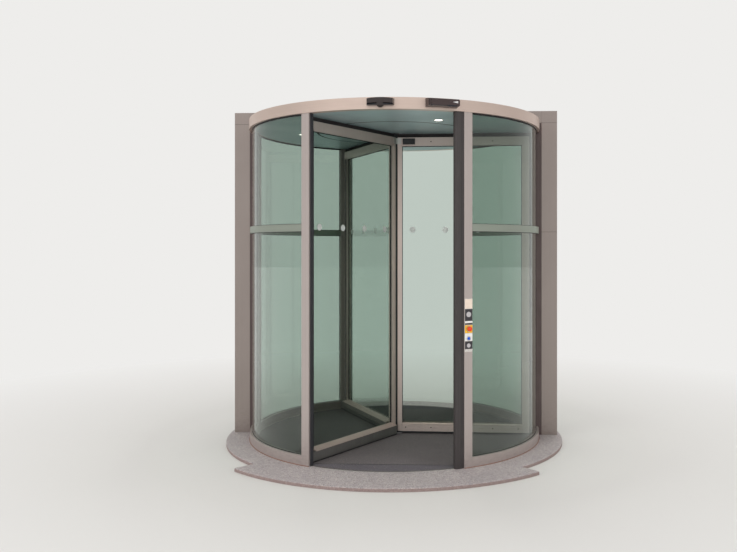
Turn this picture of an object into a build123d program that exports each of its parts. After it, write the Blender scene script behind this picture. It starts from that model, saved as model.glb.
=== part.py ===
from build123d import *
import math
import os

# Revolving door: a glazed drum with a way in and a way out, three wings that turn together
# about an upright axis, a ceiling with its fascia, and the stone step that the drum stands on.
#
# Sizes are in millimetres. The origin is on the axis of rotation, at the underside of the
# stone step. X runs to the right, Y into the building and Z up. Angles are in degrees,
# counter-clockwise seen from above, from +X, so the way in is at 270 and the way out at 90.

# Stone step and mat
step_height = 25
step_radius = 1388
step_edge_chamfer = 3
apron_radius = 1548
apron_half_angle = 44
mat_thickness = 12
mat_frame_width = 5
mat_edge_setback = 22

# Drum
drum_radius = 1200
wall_depth = 50
clear_height = 2525
way_in_angle = 270
way_out_angle = 90
opening_half_angle = 27.5
corner_post_width = 67
side_post_depth = 34
side_post_width = 60
post_edge_radius = 2

# Curved rails and glass
bottom_rail_height = 72
middle_rail_level = 1680
middle_rail_height = 52
curved_glass_thickness = 10
glazing_gap = 3
glass_bite = 14
top_seal_height = 10

# Fascia, ceiling and roof
fascia_height = 82
fascia_overhang = 6
sheet_thickness = 4
top_flange_depth = 30
ceiling_thickness = 6
ceiling_joint_radius = 650
ceiling_joint_gap = 4
downlight_count = 3
downlight_circle_radius = 789
downlight_start_angle = 298
downlight_radius = 38
downlight_depth = 45
downlight_rim = 6
lens_thickness = 5
lens_recess = 8

# Covers that join the drum to the facade
jamb_gap = 28
jamb_width = 130
jamb_depth = 60
jamb_edge_radius = 2
header_height = 98

# Wings
wing_count = 3
wing_rest_angle = -1.9
wing_inner_reach = 24
wing_thickness = 52
inner_stile_width = 38
outer_stile_width = 62
wing_bottom_rail_height = 68
wing_top_rail_height = 72
wing_edge_radius = 3
bead_width = 14
bead_recess = 2
wing_glass_thickness = 8
wing_glass_bite = 12
gasket_thickness = 4
gasket_lip = 4
edge_rubber_width = 38
edge_rubber_setback = 20
edge_rubber_thickness = 4
bracket_reach = 56
bracket_height = 50
bracket_drop = 5
bracket_thickness = 3

# Brush seals, and the room that the wings turn in
running_clearance = 5
top_brush_length = 30
outer_brush_length = 18
floor_brush_length = 7
brush_thickness = 12
brush_holder_thickness = 22
brush_holder_height = 6

# Axle and its bearings
axle_pin_radius = 15
axle_pin_clearance = 0.05
axle_end_clearance = 0.3
axle_collar_radius = 24
core_setback = 3
floor_bearing_radius = 60
floor_bearing_depth = 20
floor_pin_length = 15
top_bearing_radius = 40
top_pin_length = 48

# Rubber edge and gasket of the corner posts
safety_foot_width = 18
safety_foot_depth = 38
safety_groove_width = 3
safety_groove_depth = 3
safety_bulb_width = 49
safety_bulb_depth = 44
safety_nose_radius = 17
post_gasket_thickness = 6
post_gasket_depth = 31
post_gasket_setback = 2

# Fittings
sensor_root_depth = 12
motion_sensor_angle = 268.5
motion_sensor_rise = 11
motion_sensor_width = 196
motion_sensor_height = 58
motion_sensor_crown = 9
motion_sensor_waist = 22
motion_sensor_depth = 46
motion_sensor_taper = 8
motion_dome_radius = 32
motion_dome_drop = 13
motion_dome_reach = 30
presence_sensor_angle = 289.2
presence_sensor_rise = 5
presence_sensor_width = 243
presence_sensor_height = 62
presence_sensor_depth = 50
presence_sensor_round_end = 18
presence_sensor_square_end = 8
presence_sensor_taper = 6
presence_groove_count = 2
presence_groove_setback = 18
presence_groove_pitch = 14
presence_groove_width = 5
presence_groove_depth = 3
button_plate_width = 62
button_plate_bottom = 825
button_plate_top = 1201
button_plate_thickness = 3
stop_button_level = 988
stop_button_radius = 17
stop_button_stem_radius = 11
stop_button_reach = 24
stop_button_head_height = 12
stop_button_chamfer = 4
call_button_level = 919
call_button_radius = 11
call_button_reach = 5
call_button_chamfer = 1.5
latch_box_start = 70
latch_box_length = 102
latch_box_height = 49
latch_box_depth = 24
latch_box_drop = 11
latch_box_corner = 2

# Worked out from the sizes above
floor_level = step_height
ceiling_level = floor_level + clear_height
fascia_top = ceiling_level + fascia_height
fascia_middle = ceiling_level + fascia_height / 2
fascia_radius = drum_radius + fascia_overhang
roof_radius = fascia_radius - top_flange_depth
wall_inner_radius = drum_radius - wall_depth
wall_middle_radius = drum_radius - wall_depth / 2
corner_post_angle = math.degrees(corner_post_width / drum_radius)
side_post_outer_radius = wall_inner_radius + side_post_depth
side_post_half_angle = math.degrees(side_post_width / 2 / side_post_outer_radius)
bottom_rail_top = floor_level + bottom_rail_height
middle_rail_bottom = floor_level + middle_rail_level
middle_rail_top = middle_rail_bottom + middle_rail_height
glass_groove_width = curved_glass_thickness + 2 * glazing_gap
well_opening_radius = drum_radius - mat_edge_setback
jamb_inner = drum_radius + jamb_gap
jamb_top = fascia_top + header_height
seal_reach = wall_inner_radius - running_clearance
seal_bottom = floor_level + running_clearance
seal_top = ceiling_level - running_clearance
seal_start = axle_collar_radius + running_clearance
wing_reach = seal_reach - outer_brush_length
frame_bottom = seal_bottom + floor_brush_length
frame_top = seal_top - top_brush_length
sight_left = wing_inner_reach + inner_stile_width
sight_right = wing_reach - outer_stile_width
sight_bottom = frame_bottom + wing_bottom_rail_height
sight_top = frame_top - wing_top_rail_height
wing_angles = [wing_rest_angle + wing * 360 / wing_count for wing in range(wing_count)]
button_plate_angle = way_in_angle + opening_half_angle + corner_post_angle / 2
button_plate_face = drum_radius + button_plate_thickness

# The four curved walls, each from its corner post to its side post
post_end = opening_half_angle + corner_post_angle
walls = {
    "front_right": (way_in_angle + post_end, 360 - side_post_half_angle),
    "rear_right": (side_post_half_angle, way_out_angle - post_end),
    "rear_left": (way_out_angle + post_end, 180 - side_post_half_angle),
    "front_left": (180 + side_post_half_angle, way_in_angle - post_end),
}
corner_posts = {
    "front_right": way_in_angle + opening_half_angle,
    "rear_right": way_out_angle - post_end,
    "rear_left": way_out_angle + opening_half_angle,
    "front_left": way_in_angle - post_end,
}


def radial_plane(angle):
    """Upright plane through the axis: x runs outward at the angle, y runs up."""
    turn = math.radians(angle)
    return Plane((0, 0, 0), x_dir=(math.cos(turn), math.sin(turn), 0),
                 z_dir=(math.sin(turn), -math.cos(turn), 0))


def face_plane(angle, radius, level):
    """Upright plane that touches a cylinder about the axis: x sideways, y up, z outward."""
    turn = math.radians(angle)
    outward = (math.cos(turn), math.sin(turn), 0)
    return Plane((radius * outward[0], radius * outward[1], level),
                 x_dir=(-outward[1], outward[0], 0), z_dir=outward)


def save(part, name):
    """Label a finished piece and write it under its name."""
    part.label = name
    export_step(part, f"parts/{name}.step")


def ring_block(inner, outer, start, end, bottom, top, edge_radius=0):
    """Solid between two radii, two angles and two heights, with its upright edges eased."""
    with BuildPart() as block:
        with BuildSketch(radial_plane(start)):
            with Locations(((inner + outer) / 2, (bottom + top) / 2)):
                Rectangle(outer - inner, top - bottom)
        revolve(axis=Axis.Z, revolution_arc=end - start)
        if edge_radius:
            fillet(block.edges().filter_by(Axis.Z), edge_radius)
    return block.part


def curved_rail(start, end, bottom, top, groove_above, groove_below):
    """Curved rail of the drum, with a groove for the edge of each pane that it holds."""
    with BuildPart() as rail:
        with BuildSketch(radial_plane(start)):
            with Locations((wall_middle_radius, (bottom + top) / 2)):
                Rectangle(wall_depth, top - bottom)
            if groove_above:
                with Locations((wall_middle_radius, top)):
                    Rectangle(glass_groove_width, 2 * glass_bite, mode=Mode.SUBTRACT)
            if groove_below:
                with Locations((wall_middle_radius, bottom)):
                    Rectangle(glass_groove_width, 2 * glass_bite, mode=Mode.SUBTRACT)
        revolve(axis=Axis.Z, revolution_arc=end - start)
    return rail.part


def well_outline(inset):
    """Outline of the mat's well, which reaches further out at both openings, less an inset."""
    half_angle = opening_half_angle - math.degrees(inset / well_opening_radius)
    with BuildSketch(Plane.XY.offset(floor_level - mat_thickness)) as outline:
        Circle(wall_inner_radius - inset)
        for middle in (way_in_angle, way_out_angle):
            with BuildLine():
                edge = CenterArc((0, 0), well_opening_radius - inset,
                                 middle - half_angle, 2 * half_angle)
                Polyline(edge @ 1, (0, 0), edge @ 0)
            make_face()
    return outline.sketch


def stone_step():
    """Round stone step with a wider apron before the way in and a well for the mat."""
    with BuildPart() as step:
        with BuildSketch():
            Circle(step_radius)
            with BuildLine():
                edge = CenterArc((0, 0), apron_radius,
                                 way_in_angle - apron_half_angle, 2 * apron_half_angle)
                Polyline(edge @ 1, (0, 0), edge @ 0)
            make_face()
        extrude(amount=step_height)
        chamfer(step.faces().sort_by(Axis.Z)[-1].edges(), step_edge_chamfer)
        extrude(well_outline(0), amount=mat_thickness, mode=Mode.SUBTRACT)
        with BuildSketch(Plane.XY.offset(floor_level - floor_bearing_depth)):
            Circle(floor_bearing_radius)
        extrude(amount=floor_bearing_depth, mode=Mode.SUBTRACT)
    return step.part


def entrance_mat():
    """Flush mat that fills the drum's floor, round the floor bearing."""
    with BuildPart() as mat:
        extrude(well_outline(mat_frame_width), amount=mat_thickness)
        with BuildSketch(Plane.XY.offset(floor_level - mat_thickness)):
            Circle(floor_bearing_radius)
        extrude(amount=mat_thickness, mode=Mode.SUBTRACT)
    return mat.part


def mat_frame():
    """Thin metal edge between the mat and the stone."""
    with BuildPart() as frame:
        extrude(well_outline(0), amount=mat_thickness)
        extrude(well_outline(mat_frame_width), amount=mat_thickness, mode=Mode.SUBTRACT)
    return frame.part


def floor_bearing():
    """Round plate in the middle of the mat, with the socket that carries the axle."""
    bore_radius = axle_pin_radius + axle_pin_clearance
    with BuildPart() as bearing:
        with BuildSketch(Plane.XY.offset(floor_level - floor_bearing_depth)):
            Circle(floor_bearing_radius)
        extrude(amount=floor_bearing_depth)
        with BuildSketch(Plane.XY.offset(floor_level - floor_pin_length)):
            Circle(bore_radius)
        extrude(amount=floor_pin_length, mode=Mode.SUBTRACT)
    return bearing.part


def corner_post(start):
    """Post beside an opening, from the stone to the fascia, with eased upright edges."""
    return ring_block(wall_inner_radius, drum_radius, start, start + corner_post_angle,
                      floor_level, ceiling_level, post_edge_radius)


def post_side_plane(angle, side):
    """Level plane on a corner post's side: x runs away from the post and y along a radius."""
    turn = math.radians(angle)
    return Plane((wall_middle_radius * math.cos(turn), wall_middle_radius * math.sin(turn),
                  floor_level),
                 x_dir=(-side * math.sin(turn), side * math.cos(turn), 0))


def safety_edge(angle, side):
    """Rubber edge on a corner post: a foot, a groove at each face, and a bulb with a round nose."""
    bulb_start = safety_foot_width + safety_groove_width
    neck_depth = safety_foot_depth - 2 * safety_groove_depth
    with BuildPart() as edge:
        with BuildSketch(post_side_plane(angle, side)) as section:
            with Locations((bulb_start + safety_bulb_width / 2, 0)):
                Rectangle(safety_bulb_width, safety_bulb_depth)
            fillet(section.vertices().group_by(Axis.X)[-1], safety_nose_radius)
            with Locations((safety_foot_width / 2, 0)):
                Rectangle(safety_foot_width, safety_foot_depth)
            with Locations((bulb_start / 2, 0)):
                Rectangle(bulb_start, neck_depth)
        extrude(amount=clear_height)
    return edge.part


def post_gasket(angle, side):
    """Flat gasket on the plain side of a corner post, towards the inside of the drum."""
    inward = side * ((wall_depth - post_gasket_depth) / 2 - post_gasket_setback)
    with BuildPart() as gasket:
        with BuildSketch(post_side_plane(angle, side)):
            with Locations((post_gasket_thickness / 2, inward)):
                Rectangle(post_gasket_thickness, post_gasket_depth)
        extrude(amount=clear_height)
    return gasket.part


def side_post(middle):
    """Post between two curved walls, in the plane of the facade."""
    return ring_block(wall_inner_radius, side_post_outer_radius, middle - side_post_half_angle,
                      middle + side_post_half_angle, floor_level, ceiling_level)


def side_gasket(side):
    """Dark rubber joint between a side post with its curved walls and the jamb."""
    gasket_depth = side_post_width - 2 * jamb_edge_radius
    with BuildPart() as gasket:
        with BuildSketch(Plane.XY.offset(floor_level)):
            with Locations((side * (side_post_outer_radius + jamb_inner) / 2, 0)):
                Rectangle(jamb_inner - side_post_outer_radius + 2 * jamb_edge_radius, gasket_depth)
            with Locations((side * (jamb_inner + jamb_edge_radius), 0)):
                Rectangle(2 * jamb_edge_radius, jamb_depth, mode=Mode.SUBTRACT)
            Circle(side_post_outer_radius, mode=Mode.SUBTRACT)
        extrude(amount=clear_height)
        with BuildSketch(Plane.XY.offset(ceiling_level)):
            with Locations((side * (drum_radius + jamb_inner) / 2, 0)):
                Rectangle(jamb_gap, gasket_depth)
            Circle(fascia_radius, mode=Mode.SUBTRACT)
        extrude(amount=fascia_height)
    return gasket.part


def jamb(side):
    """Flat metal cover beside the drum, from the stone step to over the fascia."""
    with BuildPart() as cover:
        with BuildSketch(Plane.XY.offset(floor_level)):
            with Locations((side * (jamb_inner + jamb_width / 2), 0)):
                RectangleRounded(jamb_width, jamb_depth, jamb_edge_radius)
        extrude(amount=jamb_top - floor_level)
    return cover.part


def header():
    """Flat metal cover over the drum, between the two jambs."""
    with BuildPart() as cover:
        with BuildSketch(Plane.XY.offset(fascia_top)):
            Rectangle(2 * jamb_inner, jamb_depth)
        extrude(amount=header_height)
    return cover.part


def fascia(start, end):
    """Curved metal band over the walls: a channel with a flange below and one above."""
    with BuildPart() as band:
        with BuildSketch(radial_plane(start)):
            with Locations(((wall_inner_radius + fascia_radius) / 2, fascia_middle)):
                Rectangle(fascia_radius - wall_inner_radius, fascia_height)
            with BuildLine():
                Polyline(
                    (wall_inner_radius, ceiling_level + sheet_thickness),
                    (fascia_radius - sheet_thickness, ceiling_level + sheet_thickness),
                    (fascia_radius - sheet_thickness, fascia_top - sheet_thickness),
                    (roof_radius, fascia_top - sheet_thickness),
                    (roof_radius, fascia_top),
                    (wall_inner_radius, fascia_top),
                    close=True,
                )
            make_face(mode=Mode.SUBTRACT)
        revolve(axis=Axis.Z, revolution_arc=end - start)
    return band.part


def ceiling_ring():
    """Outer ring of the ceiling, with a round hole for each downlight."""
    with BuildPart() as ring:
        with BuildSketch(Plane.XY.offset(ceiling_level)):
            Circle(wall_inner_radius)
            Circle(ceiling_joint_radius + ceiling_joint_gap / 2, mode=Mode.SUBTRACT)
            with PolarLocations(downlight_circle_radius, downlight_count, downlight_start_angle):
                Circle(downlight_radius, mode=Mode.SUBTRACT)
        extrude(amount=ceiling_thickness)
    return ring.part


def ceiling_disc():
    """Round middle of the ceiling, which hangs from the top bearing's housing."""
    with BuildPart() as disc:
        with BuildSketch(Plane.XY.offset(ceiling_level)):
            Circle(ceiling_joint_radius - ceiling_joint_gap / 2)
            Circle(top_bearing_radius, mode=Mode.SUBTRACT)
        extrude(amount=ceiling_thickness)
    return disc.part


def downlights():
    """Open cans of the downlights, each flush with the ceiling and closed at the top."""
    with BuildPart() as cans:
        with BuildSketch(Plane.XY.offset(ceiling_level)):
            with PolarLocations(downlight_circle_radius, downlight_count, downlight_start_angle):
                Circle(downlight_radius)
        extrude(amount=downlight_depth)
        with BuildSketch(Plane.XY.offset(ceiling_level)):
            with PolarLocations(downlight_circle_radius, downlight_count, downlight_start_angle):
                Circle(downlight_radius - downlight_rim)
        extrude(amount=lens_recess + lens_thickness, mode=Mode.SUBTRACT)
    return cans.part


def downlight_lenses():
    """Round lens in each downlight, set back from the ceiling."""
    with BuildPart() as lenses:
        with BuildSketch(Plane.XY.offset(ceiling_level + lens_recess)):
            with PolarLocations(downlight_circle_radius, downlight_count, downlight_start_angle):
                Circle(downlight_radius - downlight_rim)
        extrude(amount=lens_thickness)
    return lenses.part


def roof_cover():
    """Flat lid of the drum, level with the fascia's top."""
    with BuildPart() as cover:
        with BuildSketch(Plane.XY.offset(fascia_top - sheet_thickness)):
            Circle(roof_radius)
        extrude(amount=sheet_thickness)
    return cover.part


def top_bearing():
    """Housing between ceiling and roof that the wings hang and turn in."""
    bore_radius = axle_pin_radius + axle_pin_clearance
    with BuildPart() as bearing:
        with BuildSketch(Plane.XY.offset(ceiling_level)):
            Circle(top_bearing_radius)
        extrude(amount=fascia_height - sheet_thickness)
        with BuildSketch(Plane.XY.offset(ceiling_level)):
            Circle(bore_radius)
        extrude(amount=top_pin_length + axle_end_clearance, mode=Mode.SUBTRACT)
    return bearing.part


def axle():
    """Core that joins the wings' inner stiles, with a collar and a pin at each end."""
    half_width = wing_thickness / 2 - core_setback
    with BuildPart() as core:
        with BuildSketch(Plane.XY.offset(frame_bottom)):
            with BuildLine():
                corners = [
                    Vector(wing_inner_reach, side * half_width).rotate(Axis.Z, angle)
                    for angle in wing_angles
                    for side in (-1, 1)
                ]
                Polyline(*corners, close=True)
            make_face()
        extrude(amount=frame_top - frame_bottom)
        with BuildSketch(Plane.XY.offset(seal_bottom)):
            Circle(axle_collar_radius)
        extrude(amount=frame_bottom - seal_bottom)
        with BuildSketch(Plane.XY.offset(frame_top)):
            Circle(axle_collar_radius)
        extrude(amount=seal_top - frame_top)
        with BuildSketch(Plane.XY.offset(floor_level - floor_pin_length + axle_end_clearance)):
            Circle(axle_pin_radius)
        extrude(amount=clear_height + top_pin_length + floor_pin_length - axle_end_clearance)
    return core.part


def wing_block(plane, left, right, bottom, top, thickness):
    """Upright block centred on a plane of a wing, between two reaches and two heights."""
    with BuildPart() as block:
        with BuildSketch(plane):
            with Locations(((left + right) / 2, (bottom + top) / 2)):
                Rectangle(right - left, top - bottom)
        extrude(amount=thickness / 2, both=True)
    return block.part


def sight_block(plane, margin, thickness):
    """Block over a wing's sight opening, larger than it by a margin on all four sides."""
    return wing_block(plane, sight_left - margin, sight_right + margin,
                      sight_bottom - margin, sight_top + margin, thickness)


def wing_frame(angle):
    """Metal frame of one wing: two stiles and two rails round a groove for the glass."""
    plane = radial_plane(angle)
    bead_middle = (wing_thickness - bead_recess) / 2
    with BuildPart() as frame:
        add(wing_block(plane, wing_inner_reach, wing_reach, frame_bottom, frame_top,
                       wing_thickness))
        fillet(frame.edges().filter_by(Axis.Z), wing_edge_radius)
        add(sight_block(plane, 0, wing_thickness), mode=Mode.SUBTRACT)
        add(sight_block(plane, wing_glass_bite, wing_glass_thickness + 2 * gasket_thickness),
            mode=Mode.SUBTRACT)
        for side in (-1, 1):
            add(sight_block(plane.offset(side * bead_middle), bead_width, bead_recess),
                mode=Mode.SUBTRACT)
    return frame.part


def wing_glass(angle):
    """Flat pane of one wing, held in its frame's groove."""
    return sight_block(radial_plane(angle), wing_glass_bite, wing_glass_thickness)


def wing_gaskets():
    """Rubber strips on both faces of each pane, with a lip that shows round the frame."""
    with BuildPart() as gaskets:
        for angle in wing_angles:
            for side in (-1, 1):
                middle = side * (wing_glass_thickness + gasket_thickness) / 2
                plane = radial_plane(angle).offset(middle)
                add(sight_block(plane, wing_glass_bite, gasket_thickness))
                add(sight_block(plane, -gasket_lip, gasket_thickness), mode=Mode.SUBTRACT)
    return gaskets.part


def wing_edge_rubbers():
    """Flat rubber strip on the leading face of each wing's outer stile, under the top rail."""
    with BuildPart() as rubbers:
        for angle in wing_angles:
            face = -(wing_thickness + edge_rubber_thickness) / 2
            add(wing_block(radial_plane(angle).offset(face),
                           wing_reach - edge_rubber_setback - edge_rubber_width,
                           wing_reach - edge_rubber_setback,
                           frame_bottom, sight_top, edge_rubber_thickness))
    return rubbers.part


def wing_seals():
    """Brush seals over, beside and under each wing, that sweep ceiling, wall and floor."""
    with BuildPart() as seals:
        for angle in wing_angles:
            plane = radial_plane(angle)
            add(wing_block(plane, seal_start, seal_reach, seal_bottom, seal_top,
                           brush_thickness))
            add(wing_block(plane, seal_start, wing_reach, frame_top,
                           frame_top + brush_holder_height, brush_holder_thickness))
            add(wing_block(plane, wing_inner_reach, wing_reach, frame_bottom, frame_top,
                           wing_thickness), mode=Mode.SUBTRACT)
    return seals.part


def wing_bracket(angle):
    """Bent plate in the corner between two wings, that ties their inner stiles at the top."""
    near_face = wing_thickness / 2
    far_face = near_face + bracket_thickness
    next_angle = angle + 360 / wing_count
    points = [(bracket_reach, near_face), (wing_inner_reach, near_face),
              (wing_inner_reach, far_face), (bracket_reach, far_face)]
    with BuildPart() as bracket:
        with BuildSketch(Plane.XY.offset(frame_top - bracket_drop - bracket_height)):
            with BuildLine():
                first_leg = [Vector(reach, face).rotate(Axis.Z, angle) for reach, face in points]
                next_leg = [Vector(reach, -face).rotate(Axis.Z, next_angle)
                            for reach, face in points]
                Polyline(first_leg[0], first_leg[1], next_leg[1], next_leg[0],
                         next_leg[3], next_leg[2], first_leg[2], first_leg[3], close=True)
            make_face()
        extrude(amount=bracket_height)
    return bracket.part


def latch_box(angle):
    """Small black box on one wing's top rail, beside the axle."""
    box_top = frame_top - latch_box_drop
    with BuildPart() as box:
        with BuildSketch(radial_plane(angle).offset(wing_thickness / 2)):
            with Locations((latch_box_start + latch_box_length / 2,
                            box_top - latch_box_height / 2)):
                RectangleRounded(latch_box_length, latch_box_height, latch_box_corner)
        extrude(amount=latch_box_depth)
    return box.part


def motion_sensor(angle):
    """Bow-shaped detector on the fascia, with a round lens under its middle."""
    half_width = motion_sensor_width / 2
    half_height = motion_sensor_height / 2
    plane = face_plane(angle, fascia_radius - sensor_root_depth,
                       fascia_middle + motion_sensor_rise)
    with BuildPart() as sensor:
        with BuildSketch(plane):
            with BuildLine():
                crown = ThreePointArc((-half_width, half_height - motion_sensor_crown),
                                      (0, half_height),
                                      (half_width, half_height - motion_sensor_crown))
                right = Line(crown @ 1, (half_width, -half_height))
                belly = ThreePointArc(right @ 1, (0, -motion_sensor_waist),
                                      (-half_width, -half_height))
                Line(belly @ 1, crown @ 0)
            make_face()
        extrude(amount=motion_sensor_depth + sensor_root_depth, taper=motion_sensor_taper)
        dome = plane.offset(sensor_root_depth + motion_dome_reach - motion_dome_radius / 2)
        with Locations(dome.location * Pos(0, -motion_dome_drop, 0)):
            Sphere(motion_dome_radius)
        Cylinder(fascia_radius, 2 * jamb_top, mode=Mode.SUBTRACT)
    return sensor.part


def presence_sensor(angle):
    """Long detector on the fascia beside the first: one end rounder, one with two grooves."""
    plane = face_plane(angle, fascia_radius - sensor_root_depth,
                       fascia_middle + presence_sensor_rise)
    depth = presence_sensor_depth + sensor_root_depth
    with BuildPart() as sensor:
        with BuildSketch(plane) as outline:
            Rectangle(presence_sensor_width, presence_sensor_height)
            ends = outline.vertices().group_by(Axis.X)
            fillet(ends[-1], presence_sensor_round_end)
            fillet(ends[0], presence_sensor_square_end)
        extrude(amount=depth, taper=presence_sensor_taper)
        with BuildSketch(plane.offset(depth)):
            with Locations((presence_groove_setback - presence_sensor_width / 2, 0)):
                with GridLocations(presence_groove_pitch, 0, presence_groove_count, 1):
                    Rectangle(presence_groove_width, presence_sensor_height)
        extrude(amount=-presence_groove_depth, mode=Mode.SUBTRACT)
        Cylinder(fascia_radius, 2 * jamb_top, mode=Mode.SUBTRACT)
    return sensor.part


def button_plate():
    """Narrow plate on the front right corner post, which carries both push buttons."""
    half_angle = math.degrees(button_plate_width / 2 / drum_radius)
    return ring_block(drum_radius, button_plate_face, button_plate_angle - half_angle,
                      button_plate_angle + half_angle, floor_level + button_plate_bottom,
                      floor_level + button_plate_top)


def post_button(radius, stem_radius, reach, head_height, rim, level):
    """Round push button that stands out from the plate, with a chamfered rim."""
    plane = face_plane(button_plate_angle, button_plate_face, floor_level + level)
    with BuildPart() as button:
        with BuildSketch(plane):
            Circle(stem_radius)
        extrude(amount=reach)
        with BuildSketch(plane.offset(reach - head_height)):
            Circle(radius)
        extrude(amount=head_height)
        chamfer(button.faces().sort_by(Axis((0, 0, 0), plane.z_dir))[-1].edges(), rim)
    return button.part


os.makedirs("parts", exist_ok=True)

# Floor
save(stone_step(), "stone_step")
save(entrance_mat(), "entrance_mat")
save(mat_frame(), "mat_frame")
save(floor_bearing(), "floor_bearing")

# Curved walls
glass_inner = wall_middle_radius - curved_glass_thickness / 2
glass_outer = wall_middle_radius + curved_glass_thickness / 2
for place, (start, end) in walls.items():
    save(curved_rail(start, end, floor_level, bottom_rail_top, True, False),
         f"bottom_rail_{place}")
    save(curved_rail(start, end, middle_rail_bottom, middle_rail_top, True, True),
         f"middle_rail_{place}")
    save(ring_block(glass_inner, glass_outer, start, end, bottom_rail_top - glass_bite,
                    middle_rail_bottom + glass_bite), f"lower_glass_{place}")
    save(ring_block(glass_inner, glass_outer, start, end, middle_rail_top - glass_bite,
                    ceiling_level - top_seal_height), f"upper_glass_{place}")
with BuildPart() as top_seals:
    for start, end in walls.values():
        add(ring_block(wall_middle_radius - glass_groove_width / 2,
                       wall_middle_radius + glass_groove_width / 2,
                       start, end, ceiling_level - top_seal_height, ceiling_level))
save(top_seals.part, "glass_top_seals")

# Posts and the covers beside them
for place, start in corner_posts.items():
    save(corner_post(start), f"corner_post_{place}")
save(safety_edge(way_in_angle + opening_half_angle, -1), "safety_edge_front")
save(safety_edge(way_out_angle + opening_half_angle, -1), "safety_edge_rear")
with BuildPart() as post_gaskets:
    add(post_gasket(way_in_angle - opening_half_angle, 1))
    add(post_gasket(way_out_angle - opening_half_angle, 1))
save(post_gaskets.part, "post_gaskets")
for place, side, middle in (("right", 1, 0), ("left", -1, 180)):
    save(side_post(middle), f"side_post_{place}")
    save(side_gasket(side), f"side_gasket_{place}")
    save(jamb(side), f"jamb_{place}")
save(header(), "header_panel")

# Fascia, ceiling and roof
save(fascia(180, 360), "fascia_front")
save(fascia(0, 180), "fascia_rear")
save(ceiling_ring(), "ceiling_ring")
save(ceiling_disc(), "ceiling_disc")
save(downlights(), "downlights")
save(downlight_lenses(), "downlight_lenses")
save(roof_cover(), "roof_cover")
save(top_bearing(), "top_bearing")

# Fittings, the same before the way out as before the way in
with BuildPart() as motion_sensors:
    add(motion_sensor(motion_sensor_angle))
    add(motion_sensor(motion_sensor_angle - 180))
save(motion_sensors.part, "motion_sensors")
with BuildPart() as presence_sensors:
    add(presence_sensor(presence_sensor_angle))
    add(presence_sensor(presence_sensor_angle - 180))
save(presence_sensors.part, "presence_sensors")
save(button_plate(), "button_plate")
save(post_button(stop_button_radius, stop_button_stem_radius, stop_button_reach,
                 stop_button_head_height, stop_button_chamfer, stop_button_level), "stop_button")
save(post_button(call_button_radius, call_button_radius, call_button_reach,
                 call_button_reach, call_button_chamfer, call_button_level), "call_button")

# Turning part
save(axle(), "axle")
for letter, angle in zip("abc", wing_angles):
    save(wing_frame(angle), f"wing_frame_{letter}")
    save(wing_glass(angle), f"wing_glass_{letter}")
save(wing_gaskets(), "wing_gaskets")
save(wing_edge_rubbers(), "wing_edge_rubbers")
save(wing_seals(), "wing_seals")
with BuildPart() as wing_brackets:
    for angle in wing_angles:
        add(wing_bracket(angle))
save(wing_brackets.part, "wing_brackets")
save(latch_box(wing_angles[0]), "latch_box")
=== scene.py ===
import math
import random

import bmesh
import bpy
from bpy.props import FloatProperty, FloatVectorProperty, IntProperty, PointerProperty
from mathutils import Matrix, Vector


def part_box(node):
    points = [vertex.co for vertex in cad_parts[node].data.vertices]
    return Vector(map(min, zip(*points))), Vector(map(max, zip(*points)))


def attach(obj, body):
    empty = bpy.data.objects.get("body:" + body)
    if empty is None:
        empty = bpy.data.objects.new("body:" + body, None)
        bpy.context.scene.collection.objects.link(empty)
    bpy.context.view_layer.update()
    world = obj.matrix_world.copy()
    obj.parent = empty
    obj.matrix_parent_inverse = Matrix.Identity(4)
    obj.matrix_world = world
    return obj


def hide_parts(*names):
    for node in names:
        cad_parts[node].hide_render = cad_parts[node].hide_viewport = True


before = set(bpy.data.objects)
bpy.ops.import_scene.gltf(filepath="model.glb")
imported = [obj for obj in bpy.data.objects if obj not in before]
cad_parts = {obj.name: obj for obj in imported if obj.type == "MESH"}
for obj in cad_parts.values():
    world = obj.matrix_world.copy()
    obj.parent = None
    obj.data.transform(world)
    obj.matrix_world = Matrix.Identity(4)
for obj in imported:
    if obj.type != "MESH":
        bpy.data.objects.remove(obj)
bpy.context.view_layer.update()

bl_info = {
    "name": "Revolving door finishes",
    "version": (1, 0, 0),
    "blender": (4, 5, 0),
    "location": "View3D > Sidebar > Revolving door",
    "description": "Materials, trim and studio for a revolving door with three wings",
    "category": "Object",
}

# The frame's own box, before anything is added to it
DRUM = "drum"
ROTOR = "rotor"

# A Mix node's inputs: its share, two numbers and two colours; and its output for colours
SHARE, FIRST, SECOND, FIRST_COLOUR, SECOND_COLOUR = 0, 2, 3, 6, 7
MIXED_COLOUR = 2

# Lays a prism down: its x turns into y, its y into z and its z into x
LAID = Matrix(((0.0, 0.0, 1.0, 0.0), (1.0, 0.0, 0.0, 0.0), (0.0, 1.0, 0.0, 0.0),
               (0.0, 0.0, 0.0, 1.0)))


def radii(node):
    """Least and greatest distance of a node from the door's axis."""
    reaches = [vertex.co.xy.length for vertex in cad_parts[node].data.vertices]
    return min(reaches), max(reaches)


def heading(node):
    """Angle about the axis at which a node's middle lies."""
    low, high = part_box(node)
    middle = (low + high) / 2
    return math.atan2(middle.y, middle.x)


def end_angles(node):
    """First and last angle of a node on the drum, counter-clockwise."""
    middle = heading(node)
    turns = []
    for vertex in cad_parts[node].data.vertices:
        turn = math.atan2(vertex.co.y, vertex.co.x) - middle
        turns.append(math.remainder(turn, math.tau))
    return middle + min(turns), middle + max(turns)


def wing_span(node, letter):
    """A node's least and greatest reach along its wing."""
    turn = Matrix.Rotation(-WING_ANGLES[letter], 3, "Z")
    reaches = [(turn @ vertex.co).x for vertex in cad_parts[node].data.vertices]
    return min(reaches), max(reaches)


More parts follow.
